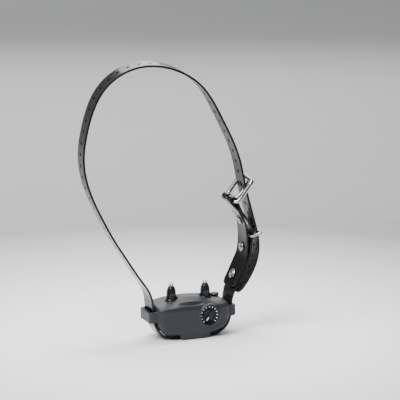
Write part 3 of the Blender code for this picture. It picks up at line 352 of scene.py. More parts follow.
class Look:
    """A Principled material whose colour, roughness and bump come from noise in the row frame."""

    def __init__(self, name, colour, rough, metal=0.0, coat=0.0, coat_rough=0.1, specular=0.5):
        self.material = bpy.data.materials.new(name)
        self.material.use_nodes = True
        self.tree = self.material.node_tree
        self.shader = self.tree.nodes["Principled BSDF"]
        values = {"Base Color": (*colour, 1.0), "Roughness": rough, "Metallic": metal, "Coat Weight": coat}
        self.fill(self.shader, values)
        self.fill(self.shader, {"Coat Roughness": coat_rough, "Specular IOR Level": specular})
        self.place = self.node("ShaderNodeTexCoord").outputs["Object"]
        self.normal = None

    def fill(self, node, values):
        """Gives each named input its value, or its link where the value is a socket."""
        for key, value in values.items():
            if isinstance(value, bpy.types.NodeSocket):
                self.tree.links.new(value, node.inputs[key])
            else:
                node.inputs[key].default_value = value

    def node(self, kind, values=None, **settings):
        node = self.tree.nodes.new(kind)
        for key, value in settings.items():
            setattr(node, key, value)
        self.fill(node, values or {})
        return node

    def noise(self, scale, detail=3.0, rough=0.5, stretch=None, place=None):
        where = place or self.place
        if stretch:
            where = self.node("ShaderNodeMapping", {"Vector": where, "Scale": stretch}).outputs["Vector"]
        values = {"Vector": where, "Scale": scale, "Detail": detail, "Roughness": rough}
        return self.node("ShaderNodeTexNoise", values).outputs["Fac"]

    def maths(self, operation, first, second=0.0):
        return self.node("ShaderNodeMath", {0: first, 1: second}, operation=operation).outputs[0]

    def span(self, source, low, high, to_low, to_high):
        values = dict(enumerate((source, low, high, to_low, to_high)))
        return self.node("ShaderNodeMapRange", values).outputs["Result"]

    def blend(self, factor, first, second):
        """A mix of two colours, each a tuple or a socket."""
        first, second = ((*end, 1.0) if isinstance(end, tuple) else end for end in (first, second))
        values = {"Factor": factor, 6: first, 7: second}
        return self.node("ShaderNodeMix", values, data_type="RGBA").outputs[2]

    def colour(self, source):
        self.fill(self.shader, {"Base Color": source})

    def roughness(self, source):
        self.fill(self.shader, {"Roughness": source})

    def bump(self, height, strength, distance):
        values = {"Strength": strength, "Distance": distance, "Height": height}
        if self.normal:
            values["Normal"] = self.normal
        self.normal = self.node("ShaderNodeBump", values).outputs["Normal"]
        self.fill(self.shader, {"Normal": self.normal})

    def edge_wear(self):
        """High on outer edges, for dense meshes."""
        return self.span(self.node("ShaderNodeNewGeometry").outputs["Pointiness"], 0.52, 0.60, 0.0, 1.0)


def strap_look():
    look = Look("coated_strap", (0.006, 0.006, 0.007), 0.22, coat=0.14, coat_rough=0.09, specular=0.20)
    along = look.node("ShaderNodeUVMap", uv_map="place").outputs["UV"]

    def wave(direction, scale, distortion):
        values = {"Vector": along, "Scale": scale, "Distortion": distortion}
        node = look.node("ShaderNodeTexWave", values, wave_type="BANDS", bands_direction=direction)
        return node.outputs["Fac"]

    parts = look.node("ShaderNodeSeparateXYZ", {"Vector": along})
    width = look.maths("ABSOLUTE", parts.outputs["Y"])
    edge = look.span(width, HALF_WIDTH - 0.0009, HALF_WIDTH - 0.0002, 0.0, 1.0)
    clouds = look.noise(38, 4.0, 0.55)
    smudge = look.span(look.noise(210, 5.0, 0.62), 0.40, 0.66, -0.05, 0.07)
    rough = look.maths("ADD", look.span(clouds, 0.3, 0.7, 0.16, 0.26), smudge)
    look.roughness(look.maths("ADD", rough, look.maths("MULTIPLY", edge, 0.26)))
    dust = look.span(look.noise(620, 6.0, 0.7), 0.62, 0.74, 0.0, 0.25)
    look.colour(look.blend(dust, (0.0065, 0.0066, 0.0074), (0.022, 0.022, 0.023)))
    look.bump(look.noise(75, 2.0, 0.5), 0.25, 0.00050)
    look.bump(look.maths("MULTIPLY", wave("X", 160, 1.2), wave("Y", 230, 0.6)), 0.05, 0.00006)
    look.bump(look.noise(1500, 3.0, 0.6), 0.08, 0.00005)
    scratch = look.span(look.noise(260, 2.0, 0.5, stretch=(0.12, 2.4, 1), place=along), 0.66, 0.70, 0.0, 1.0)
    look.bump(scratch, 0.06, 0.00004)
    return look.material


def plastic_look():
    look = Look("moulded_slate", (0.020, 0.022, 0.026), 0.46, specular=0.32)
    clouds = look.noise(42, 3.0)
    base = look.blend(clouds, (0.0175, 0.0190, 0.0225), (0.0235, 0.0255, 0.0300))
    worn = look.maths("MULTIPLY", look.edge_wear(), look.span(look.noise(300, 4.0), 0.35, 0.65, 0.1, 0.8))
    dusty = look.blend(look.maths("MULTIPLY", worn, 0.5), base, (0.070, 0.075, 0.084))
    look.colour(dusty)
    look.roughness(look.span(look.noise(240, 4.0, 0.6), 0.3, 0.7, 0.36, 0.52))
    look.bump(look.noise(3600, 3.0, 0.65), 0.32, 0.00007)
    look.bump(look.noise(900, 2.0), 0.10, 0.00006)
    return look.material


def satin_look(name, light, dark, rough, grain, strength, coat=0.0):
    look = Look(name, dark, rough, coat=coat, coat_rough=0.2, specular=0.3)
    look.colour(look.blend(look.noise(160, 4.0, 0.6), dark, light))
    look.roughness(look.span(look.noise(420, 4.0, 0.6), 0.3, 0.7, rough - 0.07, rough + 0.09))
    look.bump(look.noise(grain, 3.0, 0.6), strength, 0.00006)
    return look.material


def metal_look(name, light, dark, rough, stretch):
    look = Look(name, light, rough, metal=1.0)
    look.colour(look.blend(look.noise(130, 4.0, 0.6), dark, light))
    hairs = look.noise(900, 3.0, 0.55, stretch=stretch)
    spots = look.span(look.noise(340, 5.0, 0.65), 0.45, 0.75, 0.0, 0.12)
    look.roughness(look.maths("ADD", look.span(hairs, 0.3, 0.7, rough - 0.05, rough + 0.06), spots))
    look.bump(hairs, 0.05, 0.00004)
    look.bump(look.noise(220, 2.0), 0.10, 0.00010)
    return look.material


def floor_look():
    """Painted pool of light: nearly white round the collar and grey further away, with painted shade that
    darkens the far floor towards the front.
    """
    look = Look("studio_floor", (0.80, 0.81, 0.82), 0.55, specular=0.25)
    parts = look.node("ShaderNodeSeparateXYZ", {"Vector": look.place})
    square = look.maths("ADD", *(look.maths("MULTIPLY", parts.outputs[k], parts.outputs[k]) for k in "XY"))
    # Painted pool of light: the floor is pale close round the collar and turns grey further away.
    light_pool_falloff = look.span(look.maths("SQRT", square), LIGHT_POOL_INNER, LIGHT_POOL_OUTER, 0.0, 1.0)
    light_pool_colour = look.blend(look.noise(3, 2.0), (0.86, 0.87, 0.88), (0.89, 0.90, 0.91))
    # Painted shade: away from the collar the floor is dark grey at the front and lightens towards the
    # backdrop.
    back = look.span(parts.outputs["Y"], 0.0, 3.0, 0.0, 1.0)
    look.colour(look.blend(light_pool_falloff, light_pool_colour, look.blend(back, (0.20, 0.20, 0.20), (0.86, 0.86, 0.86))))
    look.roughness(look.span(look.noise(14, 3.0), 0.3, 0.7, 0.48, 0.60))
    return look.material


# Mesh helpers


def add_object(name, points, faces, material):
    mesh = bpy.data.meshes.new(name)
    mesh.from_pydata([tuple(map(float, p)) for p in points], [], faces)
    mesh.validate()
    mesh.update()
    if material:
        mesh.materials.append(material)
    mesh.shade_smooth()
    item = bpy.data.objects.new(name, mesh)
    bpy.context.scene.collection.objects.link(item)
    return item


def bevel(item, width, segments=3, angle=35):
    modifier = item.modifiers.new("edges", "BEVEL")
    modifier.width = width
    modifier.segments = segments
    modifier.limit_method = "ANGLE"
    modifier.angle_limit = math.radians(angle)
    modifier.use_clamp_overlap = False
    modifier.harden_normals = True


def bake(item):
    """Applies the modifiers."""
    graph = bpy.context.evaluated_depsgraph_get()
    mesh = bpy.data.meshes.new_from_object(item.evaluated_get(graph))
    item.modifiers.clear()
    item.data = mesh


def combine(target, points, faces, operation):
    other = add_object("cutter", points, faces, None)
    modifier = target.modifiers.new("cut", "BOOLEAN")
    modifier.operation = operation
    modifier.solver = "EXACT"
    modifier.object = other
    bake(target)
    bpy.data.objects.remove(other, do_unlink=True)


def fit(item, body, slot, *nodes):
    """Puts a piece on the body that it rides on and hides the nodes that it replaces. The slot is not used.
    """
    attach(item, body)
    if nodes:
        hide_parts(*nodes)


def smooth_path(points, step):
    """A denser run of points along a curve through the given ones."""
    rows = np.asarray(points, float)
    read, knots = spline(rows)
    count = max(2, int(math.ceil(knots[-1] / step)))
    return np.array([read(knots[-1] * k / count) for k in range(count + 1)])


def spokes(axis, side, sides):
    """Unit steps round the axis, the first of them towards side."""
    across = unit(side - axis * np.dot(side, axis))
    third = np.cross(axis, across)
    turns = [2 * math.pi * k / sides for k in range(sides)]
    return [math.cos(turn) * across + math.sin(turn) * third for turn in turns]


def joined(rings, closed):
    """Faces from each ring of point numbers to the next. A first or last ring of one point is a tip."""
    faces = []
    for lower, upper in zip(rings, rings[1:] + rings[:1] if closed else rings[1:]):
        sides = max(len(lower), len(upper))
        for k in range(sides):
            n = (k + 1) % sides
            if len(lower) == 1:
                faces.append((lower[0], upper[n], upper[k]))
            elif len(upper) == 1:
                faces.append((lower[k], lower[n], upper[0]))
            else:
                faces.append((lower[k], lower[n], upper[n], upper[k]))
    if not closed and len(rings[0]) > 1 and len(rings[-1]) > 1:
        faces += [tuple(rings[0])[::-1], tuple(rings[-1])]
    return faces


def tube(path, radii, sides, closed, side):
    """A tube along the path, whose rings start towards side."""
    path = np.asarray(path)
    count = len(path)
    points = []
    for i in range(count):
        before = path[(i - 1) % count] if closed or i else path[0]
        after = path[(i + 1) % count] if closed or i < count - 1 else path[-1]
        points += [path[i] + radii[i] * spoke for spoke in spokes(unit(after - before), side, sides)]
    return points, joined([list(range(i * sides, (i + 1) * sides)) for i in range(count)], closed)


def turned(profile, centre, axis, side, sides, closed=False):
    """Turns (radius, height) rows about the axis. Closed joins the last row to the first, as in a washer."""
    centre, axis = np.asarray(centre), unit(np.asarray(axis, float))
    steps = spokes(axis, side, sides)
    points, rings = [], []
    for radius, height in profile:
        ring = [centre + axis * height + radius * step for step in (steps if radius else steps[:1])]
        rings.append(list(range(len(points), len(points) + len(ring))))
        points += ring
    return points, joined(rings, closed)


def rounded_profile(rows, radius, steps=3):
    """Rounds the corners of a profile's inner rows."""
    rows = [np.array(row, float) for row in rows]
    made = [tuple(rows[0])]
    for before, here, after in zip(rows, rows[1:], rows[2:]):
        back, ahead = before - here, after - here
        reach = min(radius, np.linalg.norm(back) * 0.45, np.linalg.norm(ahead) * 0.45)
        start, end = here + unit(back) * reach, here + unit(ahead) * reach
        for k in range(steps + 1):
            t = k / steps
            made.append(tuple(start * (1 - t) ** 2 + here * 2 * t * (1 - t) + end * t * t))
    made.append(tuple(rows[-1]))
    return [(max(r, 0.0), h) for r, h in made]


def prism(low, high):
    """A body between two like rings of points, which run anticlockwise seen from the high side."""
    count = len(low)
    faces = [tuple(range(count))[::-1], tuple(range(count, 2 * count))]
    faces += [(k, (k + 1) % count, (k + 1) % count + count, k + count) for k in range(count)]
    return [*low, *high], faces


def plate(outline, front, back):
    """An outline in x and z, anticlockwise seen from the front, between two y values."""
    return prism([(x, back, z) for x, z in outline], [(x, front, z) for x, z in outline])


def flat_prism(outline, low, high):
    """An outline in x and y, anticlockwise from above, between two heights."""
    return prism([(x, y, low) for x, y in outline], [(x, y, high) for x, y in outline])


def rounded_outline(half_x, half_y, corner, steps):
    """Points of a rounded rectangle, anticlockwise from the right end of the front side."""
    points = []
    for quarter, (sx, sy) in enumerate(((1, -1), (1, 1), (-1, 1), (-1, -1))):
        start = -math.pi / 2 + quarter * math.pi / 2
        for k in range(steps + 1):
            angle = start + math.pi / 2 * k / steps
            x = sx * (half_x - corner) + corner * math.cos(angle)
            y = sy * (half_y - corner) + corner * math.sin(angle)
            points.append((x, y))
    return points


# The strap's centre line


def spline(rows, first_slope=None, last_slope=None):
    """A cubic curve through the rows, read by distance along their chords."""
    rows = np.asarray(rows, float)
    steps = np.linalg.norm(np.diff(rows[:, :3], axis=0), axis=1)
    knots = np.concatenate([[0], np.cumsum(steps)])
    count = len(rows)
    matrix = np.zeros((count, count))
    right = np.zeros_like(rows)
    for i in range(1, count - 1):
        a, b = steps[i - 1], steps[i]
        matrix[i, i - 1 : i + 2] = b, 2 * (a + b), a
        right[i] = 3 * (b * (rows[i] - rows[i - 1]) / a + a * (rows[i + 1] - rows[i]) / b)
    matrix[0, :2] = 2, 1
    right[0] = 3 * (rows[1] - rows[0]) / steps[0]
    matrix[-1, -2:] = 1, 2
    right[-1] = 3 * (rows[-1] - rows[-2]) / steps[-1]
    if first_slope is not None:
        matrix[0, :2] = 1, 0
        right[0] = first_slope
    if last_slope is not None:
        matrix[-1, -2:] = 0, 1
        right[-1] = last_slope
    slopes = np.linalg.solve(matrix, right)

    def read(distance):
        i = int(np.clip(np.searchsorted(knots, distance, side="right") - 1, 0, count - 2))
        h = steps[i]
        t = (distance - knots[i]) / h
        return (
            (1 + 2 * t) * (1 - t) ** 2 * rows[i]
            + t * (1 - t) ** 2 * h * slopes[i]
            + t * t * (3 - 2 * t) * rows[i + 1]
            + t * t * (t - 1) * h * slopes[i + 1]
        )

    return read, knots


def scaled(table, across=LOOP_HEIGHT, up=LOOP_HEIGHT):
    rows = np.array(table, float)
    rows[:, :2] *= across
    rows[:, 2] *= up
    return rows


def fold_rows(before, after):
    """The turn round the heel bar, from the short end's last row to the standing strap's first."""

    def touch(point, sign):
        step = point[[0, 2]] - HEEL[[0, 2]]
        reach = np.linalg.norm(step)
        return math.atan2(step[1], step[0]) + sign * math.acos(FOLD_RADIUS / reach)

    start = touch(before, -1) + 2 * math.pi
    end = touch(after, 1)
    count = int(math.ceil((start - end) / FOLD_STEP))
    rows = []
    for k in range(count + 1):
        angle = start + (end - start) * k / count
        x = HEEL[0] + FOLD_RADIUS * math.cos(angle)
        z = HEEL[2] + FOLD_RADIUS * math.sin(angle)
        rows.append((x, HEEL[1], z, 0.0, math.degrees(FRAME_TILT)))
    return np.array(rows)


class StrapPath:
    """Sampled centre line with a frame: along, across (the width) and out (the outer face)."""

    def __init__(self):
        short, loop = scaled(SHORT_END), scaled(LOOP)
        right_ear = scaled(RIGHT_EAR, EAR_MIDDLE, HOUSING_TOP)
        left_ear = scaled(LEFT_EAR, EAR_MIDDLE, HOUSING_TOP)
        standing = np.vstack([scaled(STANDING), right_ear])
        fold = fold_rows(short[-1], standing[0])
        right = np.array([FLAT_RIGHT, 0, HALF_THICK, 0, 0])
        left = np.array([FLAT_LEFT, 0, HALF_THICK, 0, 0])
        level = np.array([-1.0, 0, 0, 0, 0])
        first, first_knots = spline(np.vstack([short, fold, standing, right]), last_slope=level)
        second, second_knots = spline(np.vstack([left, left_ear, loop]), first_slope=level)
        rows = [first(d) for d in np.arange(0, first_knots[-1], SAMPLE_STEP)]
        rows += [right + (left - right) * share for share in np.arange(0, 1, 0.02)]
        join = len(rows)
        rows += [second(d) for d in np.arange(0, second_knots[-1], SAMPLE_STEP)]
        self.rows = np.array(rows)
        steps = np.linalg.norm(np.diff(self.rows[:, :3], axis=0), axis=1)
        self.arc = np.concatenate([[0], np.cumsum(steps)])
        self.length = self.arc[-1]
        self.fold_from = self.nearest(fold[0][:3])
        self.fold_to = self.nearest(fold[-1][:3])
        self.flat_from = self.nearest(right[:3])
        self.flat_to = self.arc[join]
        self.ear = self.nearest(left_ear[LEFT_EAR_ROW][:3])

    def nearest(self, point, low=0.0, high=1e9):
        inside = (self.arc >= low) & (self.arc <= high)
        away = np.linalg.norm(self.rows[:, :3] - point, axis=1)
        away[~inside] = 1e9
        return self.arc[int(np.argmin(away))]

    def read(self, s, columns):
        return np.array([np.interp(s, self.arc, self.rows[:, k]) for k in range(columns)])

    def frame(self, s):
        row = self.read(s, 5)
        along = unit(self.read(s + SAMPLE_STEP, 3) - self.read(s - SAMPLE_STEP, 3))
        turn, tilt = np.radians(row[3:])
        across = np.array([-math.sin(turn), math.cos(turn), math.tan(tilt)])
        across = unit(across - along * np.dot(across, along))
        return row[:3], along, across, np.cross(along, across)

    def point(self, s, w, side):
        centre, _, across, out = self.frame(s)
        return centre + across * w + out * (side * HALF_THICK)


# The strap as one closed body


class StrapBuilder:
    """Rows across the strap joined by bands. Each (s, w) place is one point on both faces."""

    def __init__(self, path):
        self.path = path
        self.places = {}
        self.points = []
        self.where = []
        self.faces = []

    def place(self, s, w):
        key = (round(s * 1e7), round(w * 1e7))
        if key not in self.places:
            self.places[key] = len(self.points)
            self.points.append(self.path.point(s, w, 1))
            self.points.append(self.path.point(s, w, -1))
            self.where += [(s, w), (s, w)]
        return self.places[key]

    def skin(self, corners):
        """One face on the outer side and its twin on the inner one. The corners run s first, then w."""
        ids = [self.place(s, w) for s, w in corners]
        self.faces.append(tuple(ids))
        self.faces.append(tuple(i + 1 for i in reversed(ids)))

    def wall(self, places):
        """Closes an edge of the skin, with the strap on the left of the run."""
        ids = [self.place(s, w) for s, w in places]
        for a, b in zip(ids, ids[1:]):
            self.faces.append((b, a, a + 1, b + 1))

    def band(self, s_low, low, s_high, high):
        """Joins two rows of w values from their lower to their upper ends."""
        i = j = 0
        while i < len(low) - 1 or j < len(high) - 1:
            both = i < len(low) - 1 and j < len(high) - 1
            if both and abs(low[i + 1] - high[j + 1]) < 1e-6:
                self.skin([(s_low, low[i]), (s_high, high[j]), (s_high, high[j + 1]), (s_low, low[i + 1])])
                i, j = i + 1, j + 1
            elif j == len(high) - 1 or (both and low[i + 1] < high[j + 1]):
                self.skin([(s_low, low[i]), (s_high, high[j]), (s_low, low[i + 1])])
                i += 1
            else:
                self.skin([(s_low, low[i]), (s_high, high[j]), (s_high, high[j + 1])])
                j += 1

    def edges(self, rows):
        """Walls on both long sides of a list of (s, w values) rows."""
        self.wall([(s, ws[0]) for s, ws in rows])
        self.wall([(s, ws[-1]) for s, ws in reversed(rows)])

    def run(self, rows):
        for (s_low, low), (s_high, high) in zip(rows, rows[1:]):
            self.band(s_low, low, s_high, high)
        self.edges(rows)

    def tile(self, s_low, s_high, centre, radius, stretch):
        """A piece of strap with one hole, which stretch makes longer along the strap."""
        stops = [s_low + (s_high - s_low) * k / HOLE_ROWS for k in range(HOLE_ROWS + 1)]
        for a, b in zip(stops, stops[1:]):
            self.band(a, [-HALF_WIDTH, -HOLE_STRIP], b, [-HALF_WIDTH, -HOLE_STRIP])
            self.band(a, [HOLE_STRIP, HALF_WIDTH], b, [HOLE_STRIP, HALF_WIDTH])
        self.edges([(s, [-HALF_WIDTH, HALF_WIDTH]) for s in stops])
        rim = [(s, -HOLE_STRIP) for s in stops] + [(s, HOLE_STRIP) for s in reversed(stops)]
        hole = []
        for k in range(HOLE_SIDES):
            angle = math.pi / HOLE_SIDES * (2 * k + 1) - math.pi
            ds = radius * math.cos(angle)
            shift = math.copysign(stretch, ds)
            hole.append((centre + ds + shift, radius * math.sin(angle)))
        self.ring(rim, hole, centre)
        self.wall(hole[::-1] + hole[-1:])

    def ring(self, rim, hole, centre):
        """Faces between a rim and the hole inside it, in the order of their angles round the centre."""

        def angle(place):
            return math.atan2(place[1], place[0] - centre) % (2 * math.pi)

        def round_trip(places):
            ordered = sorted(places, key=angle)
            turns = [angle(place) for place in ordered]
            return ordered + ordered[:1], turns + [turns[0] + 2 * math.pi]

        rim, rim_turns = round_trip(rim)
        hole, hole_turns = round_trip(hole)
        i = j = 0
        while i < len(rim) - 1 or j < len(hole) - 1:
            both = i < len(rim) - 1 and j < len(hole) - 1
            if j == len(hole) - 1 or (both and rim_turns[i + 1] < hole_turns[j + 1]):
                self.skin([rim[i], rim[i + 1], hole[j]])
                i += 1
            else:
                self.skin([rim[i], hole[j + 1], hole[j]])
                j += 1


def tip_half_width(from_tip, rounding):
    if from_tip >= rounding:
        return HALF_WIDTH
    fall = rounding - math.sqrt(max(rounding**2 - (rounding - from_tip) ** 2, 0.0))
    return HALF_WIDTH - fall


def stops_between(low, high, step):
    count = max(1, int(round((high - low) / step)))
    return [low + (high - low) * k / count for k in range(count + 1)]


def strap_body(path, rivets, crossing):
    """The strap from its short end to its free tip, with its holes spaced from the prong's at crossing."""
    plain = [-HALF_WIDTH, -HOLE_STRIP, HOLE_STRIP, HALF_WIDTH]
    build = StrapBuilder(path)

    def tip_rows(start, toward, rounding):
        rows = []
        for share in TIP_SHARES:
            half = tip_half_width(share * rounding, rounding)
            rows.append((start + toward * share * rounding, [-half, half]))
        rows[-1] = (rows[-1][0], plain)
        return rows

    def plain_run(low, high, step, first=None, last=None):
        rows = [(s, plain) for s in stops_between(low, high, step)]
        if first:
            rows[0] = (low, first)
        if last:
            rows[-1] = (high, last)
        build.run(rows)

    def rivet_run(low, spot, first=None):
        """A plain run from low and the tile of a rivet's hole. It gives the place where the tile ends."""
        plain_run(low, spot - RIVET_STRIP, CURVE_STEP, first=first)
        build.tile(spot - RIVET_STRIP, spot + RIVET_STRIP, spot, RIVET_HOLE_RADIUS, 0.0)
        return spot + RIVET_STRIP

    start = tip_rows(0.0, 1, SHORT_TIP_ROUND)
    build.run(start)
    build.wall([(0.0, start[0][1][1]), (0.0, start[0][1][0])])
    at = SHORT_TIP_ROUND
    slot_from = path.fold_from - SLOT_BEFORE_FOLD
    slot_to = path.fold_to + SLOT_AFTER_FOLD
    slot = [-HALF_WIDTH, -SLOT_HALF_WIDTH, SLOT_HALF_WIDTH, HALF_WIDTH]
    for spot, _ in rivets:
        at = rivet_run(at, spot)
    plain_run(at, slot_from, CURVE_STEP, last=slot)
    stops = stops_between(slot_from, path.fold_from, CURVE_STEP)
    stops += stops_between(path.fold_from, path.fold_to, FOLD_RADIUS * FOLD_STEP)[1:]
    stops += stops_between(path.fold_to, slot_to, CURVE_STEP)[1:]
    for a, b in zip(stops, stops[1:]):
        build.band(a, slot[:2], b, slot[:2])
        build.band(a, slot[2:], b, slot[2:])
    build.edges([(s, [-HALF_WIDTH, HALF_WIDTH]) for s in stops])
    around = [(s, slot[1]) for s in reversed(stops)] + [(s, slot[2]) for s in stops]
    build.wall(around + around[:1])
    at, first = slot_to, slot
    for _, spot in reversed(rivets):
        at, first = rivet_run(at, spot, first), None
    plain_run(at, path.flat_from, CURVE_STEP)
    plain_run(path.flat_from, path.flat_to, FLAT_RIGHT)
    even = crossing + PRONG_HOLE_PULL
    before = int((even - path.ear - EAR_TO_FIRST_HOLE) / HOLE_PITCH)
    after = int((path.length - LAST_HOLE_TO_TIP - even) / HOLE_PITCH)
    count = before + 1 + after
    first_tile = even - (before + 0.5) * HOLE_PITCH
    plain_run(path.flat_to, path.ear, CURVE_STEP)
    plain_run(path.ear, first_tile, PLAIN_STEP)
    for k in range(count):
        low = first_tile + k * HOLE_PITCH
        pulled = k == before
        stretch = PRONG_HOLE_STRETCH if pulled else 0.0
        middle = low + HOLE_PITCH / 2 - (PRONG_HOLE_PULL if pulled else 0.0)
        growth = PRONG_HOLE_GROWTH if pulled else 1.0
        build.tile(low, low + HOLE_PITCH, middle, HOLE_DIAMETER / 2 * growth, stretch)
    at = first_tile + count * HOLE_PITCH
    plain_run(at, path.length - FREE_TIP_ROUND, CURVE_STEP)
    end = tip_rows(path.length, -1, FREE_TIP_ROUND)[::-1]
    build.run(end)
    build.wall([(path.length, end[-1][1][0]), (path.length, end[-1][1][1])])
    return build.points, build.faces, build.where


def rivet_spots(path):
    """For each rivet, its place on the short end and the place straight across on the standing strap."""
    spots = []
    for share in RIVET_HEIGHTS:
        height = share * LOOP_HEIGHT
        stretch = path.arc < path.fold_from
        heights = np.where(stretch, path.rows[:, 2], 1e9)
        on_short = path.arc[int(np.argmin(abs(heights - height)))]
        centre, _, _, out = path.frame(on_short)
        away = path.rows[:, :3] - centre
        off_axis = np.linalg.norm(away - np.outer(away @ out, out), axis=1)
        off_axis[(path.arc < path.fold_to) | (path.arc > path.flat_from)] = 1e9
        on_standing = path.arc[int(np.argmin(off_axis))]
        spots.append((on_short, on_standing))
    return spots


# Strap, rivets, buckle and keeper


def strap(path, spots, crossing, look):
    """The coated strap with rounded edges. Its map holds the place along and across it in metres."""
    points, faces, places = strap_body(path, spots, crossing)
    item = add_object("strap_coated", points, faces, look)
    layer = item.data.uv_layers.new(name="place")
    for loop in item.data.loops:
        layer.data[loop.index].uv = places[loop.vertex_index]
    bevel(item, STRAP_ROUND, 3, 50)
    fit(item, "collar", "coated_strap_black", "strap")


def rivet(number, path, spots, look):
    """A tube rivet: a splayed, hollow inner cap and a domed outer cap."""
    inner, _, across, out = path.frame(spots[0])
    outer = path.frame(spots[1])[0]
    axis = -out
    apart = np.dot(outer - inner, axis)
    low = -HALF_THICK - GAP - RIVET_LIFT
    high = apart + HALF_THICK + GAP + RIVET_LIFT
    r = RIVET_CAP_RADIUS
    post = RIVET_POST_RADIUS
    rows = [(0, low + 0.0006), (r * 0.30, low + 0.0006), (r * 0.34, low - 0.0008), (r * 0.48, low - 0.0012)]
    rows += [(r * 0.60, low - 0.0007), (r * 0.78, low - 0.0009), (r * 0.97, low - 0.0003), (r, low + 0.0001)]
    rows += [(post, low + 0.0002), (post, high - 0.0002), (r * 0.85, high - 0.0001)]
    rows += [(r * 0.84, high + 0.0002), (r * 0.70, high + 0.0006), (0, high + 0.0007)]
    shape = turned(rounded_profile(rows, RIVET_ROUND), inner, axis, across, 48)
    item = add_object(f"rivet_cap_{number}", *shape, look)
    item.data.set_sharp_from_angle(angle=math.radians(60))
    fit(item, "collar", "nickel_plate", f"rivet_{number}")


def buckle_frame_axes():
    """Along the frame, across it (the heel bar) and out of its face."""
    across = unit(np.array([0.0, math.cos(FRAME_TILT), math.sin(FRAME_TILT)]))
    rise = np.array([math.cos(FRAME_RISE), 0.0, math.sin(FRAME_RISE)])
    along = unit(rise - across * np.dot(rise, across))
    return along, across, np.cross(across, along)


def buckle_frame(look):
    along, across, out = buckle_frame_axes()
    centre = HEEL + across * FRAME_SHIFT
    rows = []
    for sign, side in ((-1, FRAME_SIDE), (1, FRAME_SIDE[::-1])):
        for reach, lift, thick, inset in side:
            half = sign * (FRAME_HALF_WIDTH - inset * FRAME_CORNER)
            place = centre + along * reach * FRAME_LENGTH + out * lift * BAR_OFFSET + across * half
            rows.append((*place, thick * BAR_RADIUS))
    ring = rounded_ring(np.array(rows), FRAME_BEND, FRAME_STEP)
    shape = tube(ring[:, :3], ring[:, 3], 28, True, out)
    fit(add_object("buckle_bars", *shape, look), "collar", "nickel_plate", "buckle_frame")


def rounded_ring(rows, reach, step):
    """Dense rows along a closed run whose corners are rounded over reach."""
    made = []
    for before, here, after in zip(np.roll(rows, 1, axis=0), rows, np.roll(rows, -1, axis=0)):
        back, ahead = before - here, after - here
        start = here + back * min(0.5, reach / np.linalg.norm(back[:3]))
        end = here + ahead * min(0.5, reach / np.linalg.norm(ahead[:3]))
        for t in np.linspace(0, 1, 7):
            made.append(start * (1 - t) ** 2 + here * 2 * t * (1 - t) + end * t * t)
        stop = after - ahead * min(0.5, reach / np.linalg.norm(ahead[:3]))
        run = np.linalg.norm((stop - end)[:3])
        made += [end + (stop - end) * k * step / run for k in range(1, int(run / step))]
    return np.array(made)


def prong_line():
    """The prong's centre line: an eye round the heel bar, then a curve to the tip on the end bar."""
    along, _, out = buckle_frame_axes()
    level = unit(np.array([along[0], 0.0, along[2]]))
    line = []
    for share in np.linspace(0, 1, 33):
        angle = EYE_START - EYE_SPAN * (1 - share)
        line.append(HEEL + EYE_RADIUS * (math.sin(angle) * along + math.cos(angle) * out))
    for reach, lift in PRONG_CURVE:
        line.append(HEEL + level * reach * FRAME_LENGTH + out * lift * BAR_OFFSET)
    return np.array(line)


def prong_crossing(path):
    """The place on the free end that the prong goes through."""
    line = prong_line()
    places = path.arc > path.ear
    best, crossing = math.inf, 0.0
    for a, b in zip(line, line[1:]):
        for share in np.linspace(0, 1, 20):
            away = np.linalg.norm(path.rows[places][:, [0, 2]] - (a + (b - a) * share)[[0, 2]], axis=1)
            if away.min() < best:
                best, crossing = away.min(), path.arc[places][int(np.argmin(away))]
    return crossing


def buckle_prong(look):
    """The bent tongue with its eye round the heel bar, thinner towards its tip and its root."""
    across = buckle_frame_axes()[1]
    path = smooth_path(prong_line(), PRONG_STEP)
    count = len(path)
    radii = []
    for k in range(count):
        from_tip = (count - 1 - k) / TIP_TAPER
        from_root = k / ROOT_TAPER
        radii.append(PRONG_RADIUS * min(1.0, 0.55 + 0.45 * from_tip, 0.6 + 0.4 * from_root))
    item = add_object("buckle_tongue", *tube(path, radii, 20, False, across), look)
    bevel(item, 0.00015, 2, 60)
    fit(item, "collar", "nickel_plate", "buckle_prong")


def keeper(path, crossing, look):
    standing = path.nearest(KEEPER_AT, path.fold_to, path.flat_from)
    inner, along, across, out = path.frame(standing)
    free = path.nearest(inner, crossing)
    outer = path.frame(free)[0]
    across = unit(across + path.frame(free)[2])
    out = unit((outer - inner) - across * np.dot(outer - inner, across))
    middle = (inner + outer) / 2
    half_out = np.linalg.norm(outer - inner) / 2 + HALF_THICK + GAP * 1.8 + KEEPER_WIRE
    half_across = HALF_WIDTH + GAP * 2 + KEEPER_WIRE + abs(np.dot(outer - inner, across)) / 2
    outline = rounded_outline(half_out, half_across, KEEPER_CORNER, 10)
    ring = [middle + out * a + across * b for a, b in outline]
    shape = tube(ring, [KEEPER_WIRE] * len(ring), 20, True, unit(along))
    fit(add_object("keeper_wire", *shape, look), "collar", "nickel_plate", "keeper_ring")


# Receiver housing


def read_table(table, share):
    return float(np.interp(share, [row[0] for row in table], [row[1] for row in table]))


def soft_table(table, share, reach):
    """The table's value with its corners eased over reach."""
    spots = np.linspace(-reach, reach, 9)
    return sum(read_table(table, min(abs(share + spot), 1.0)) for spot in spots) / len(spots)


def step_down(distance, width):
    """1 inside, 0 outside, with a soft edge."""
    t = min(max(0.5 - distance / width, 0.0), 1.0)
    return t * t * (3 - 2 * t)


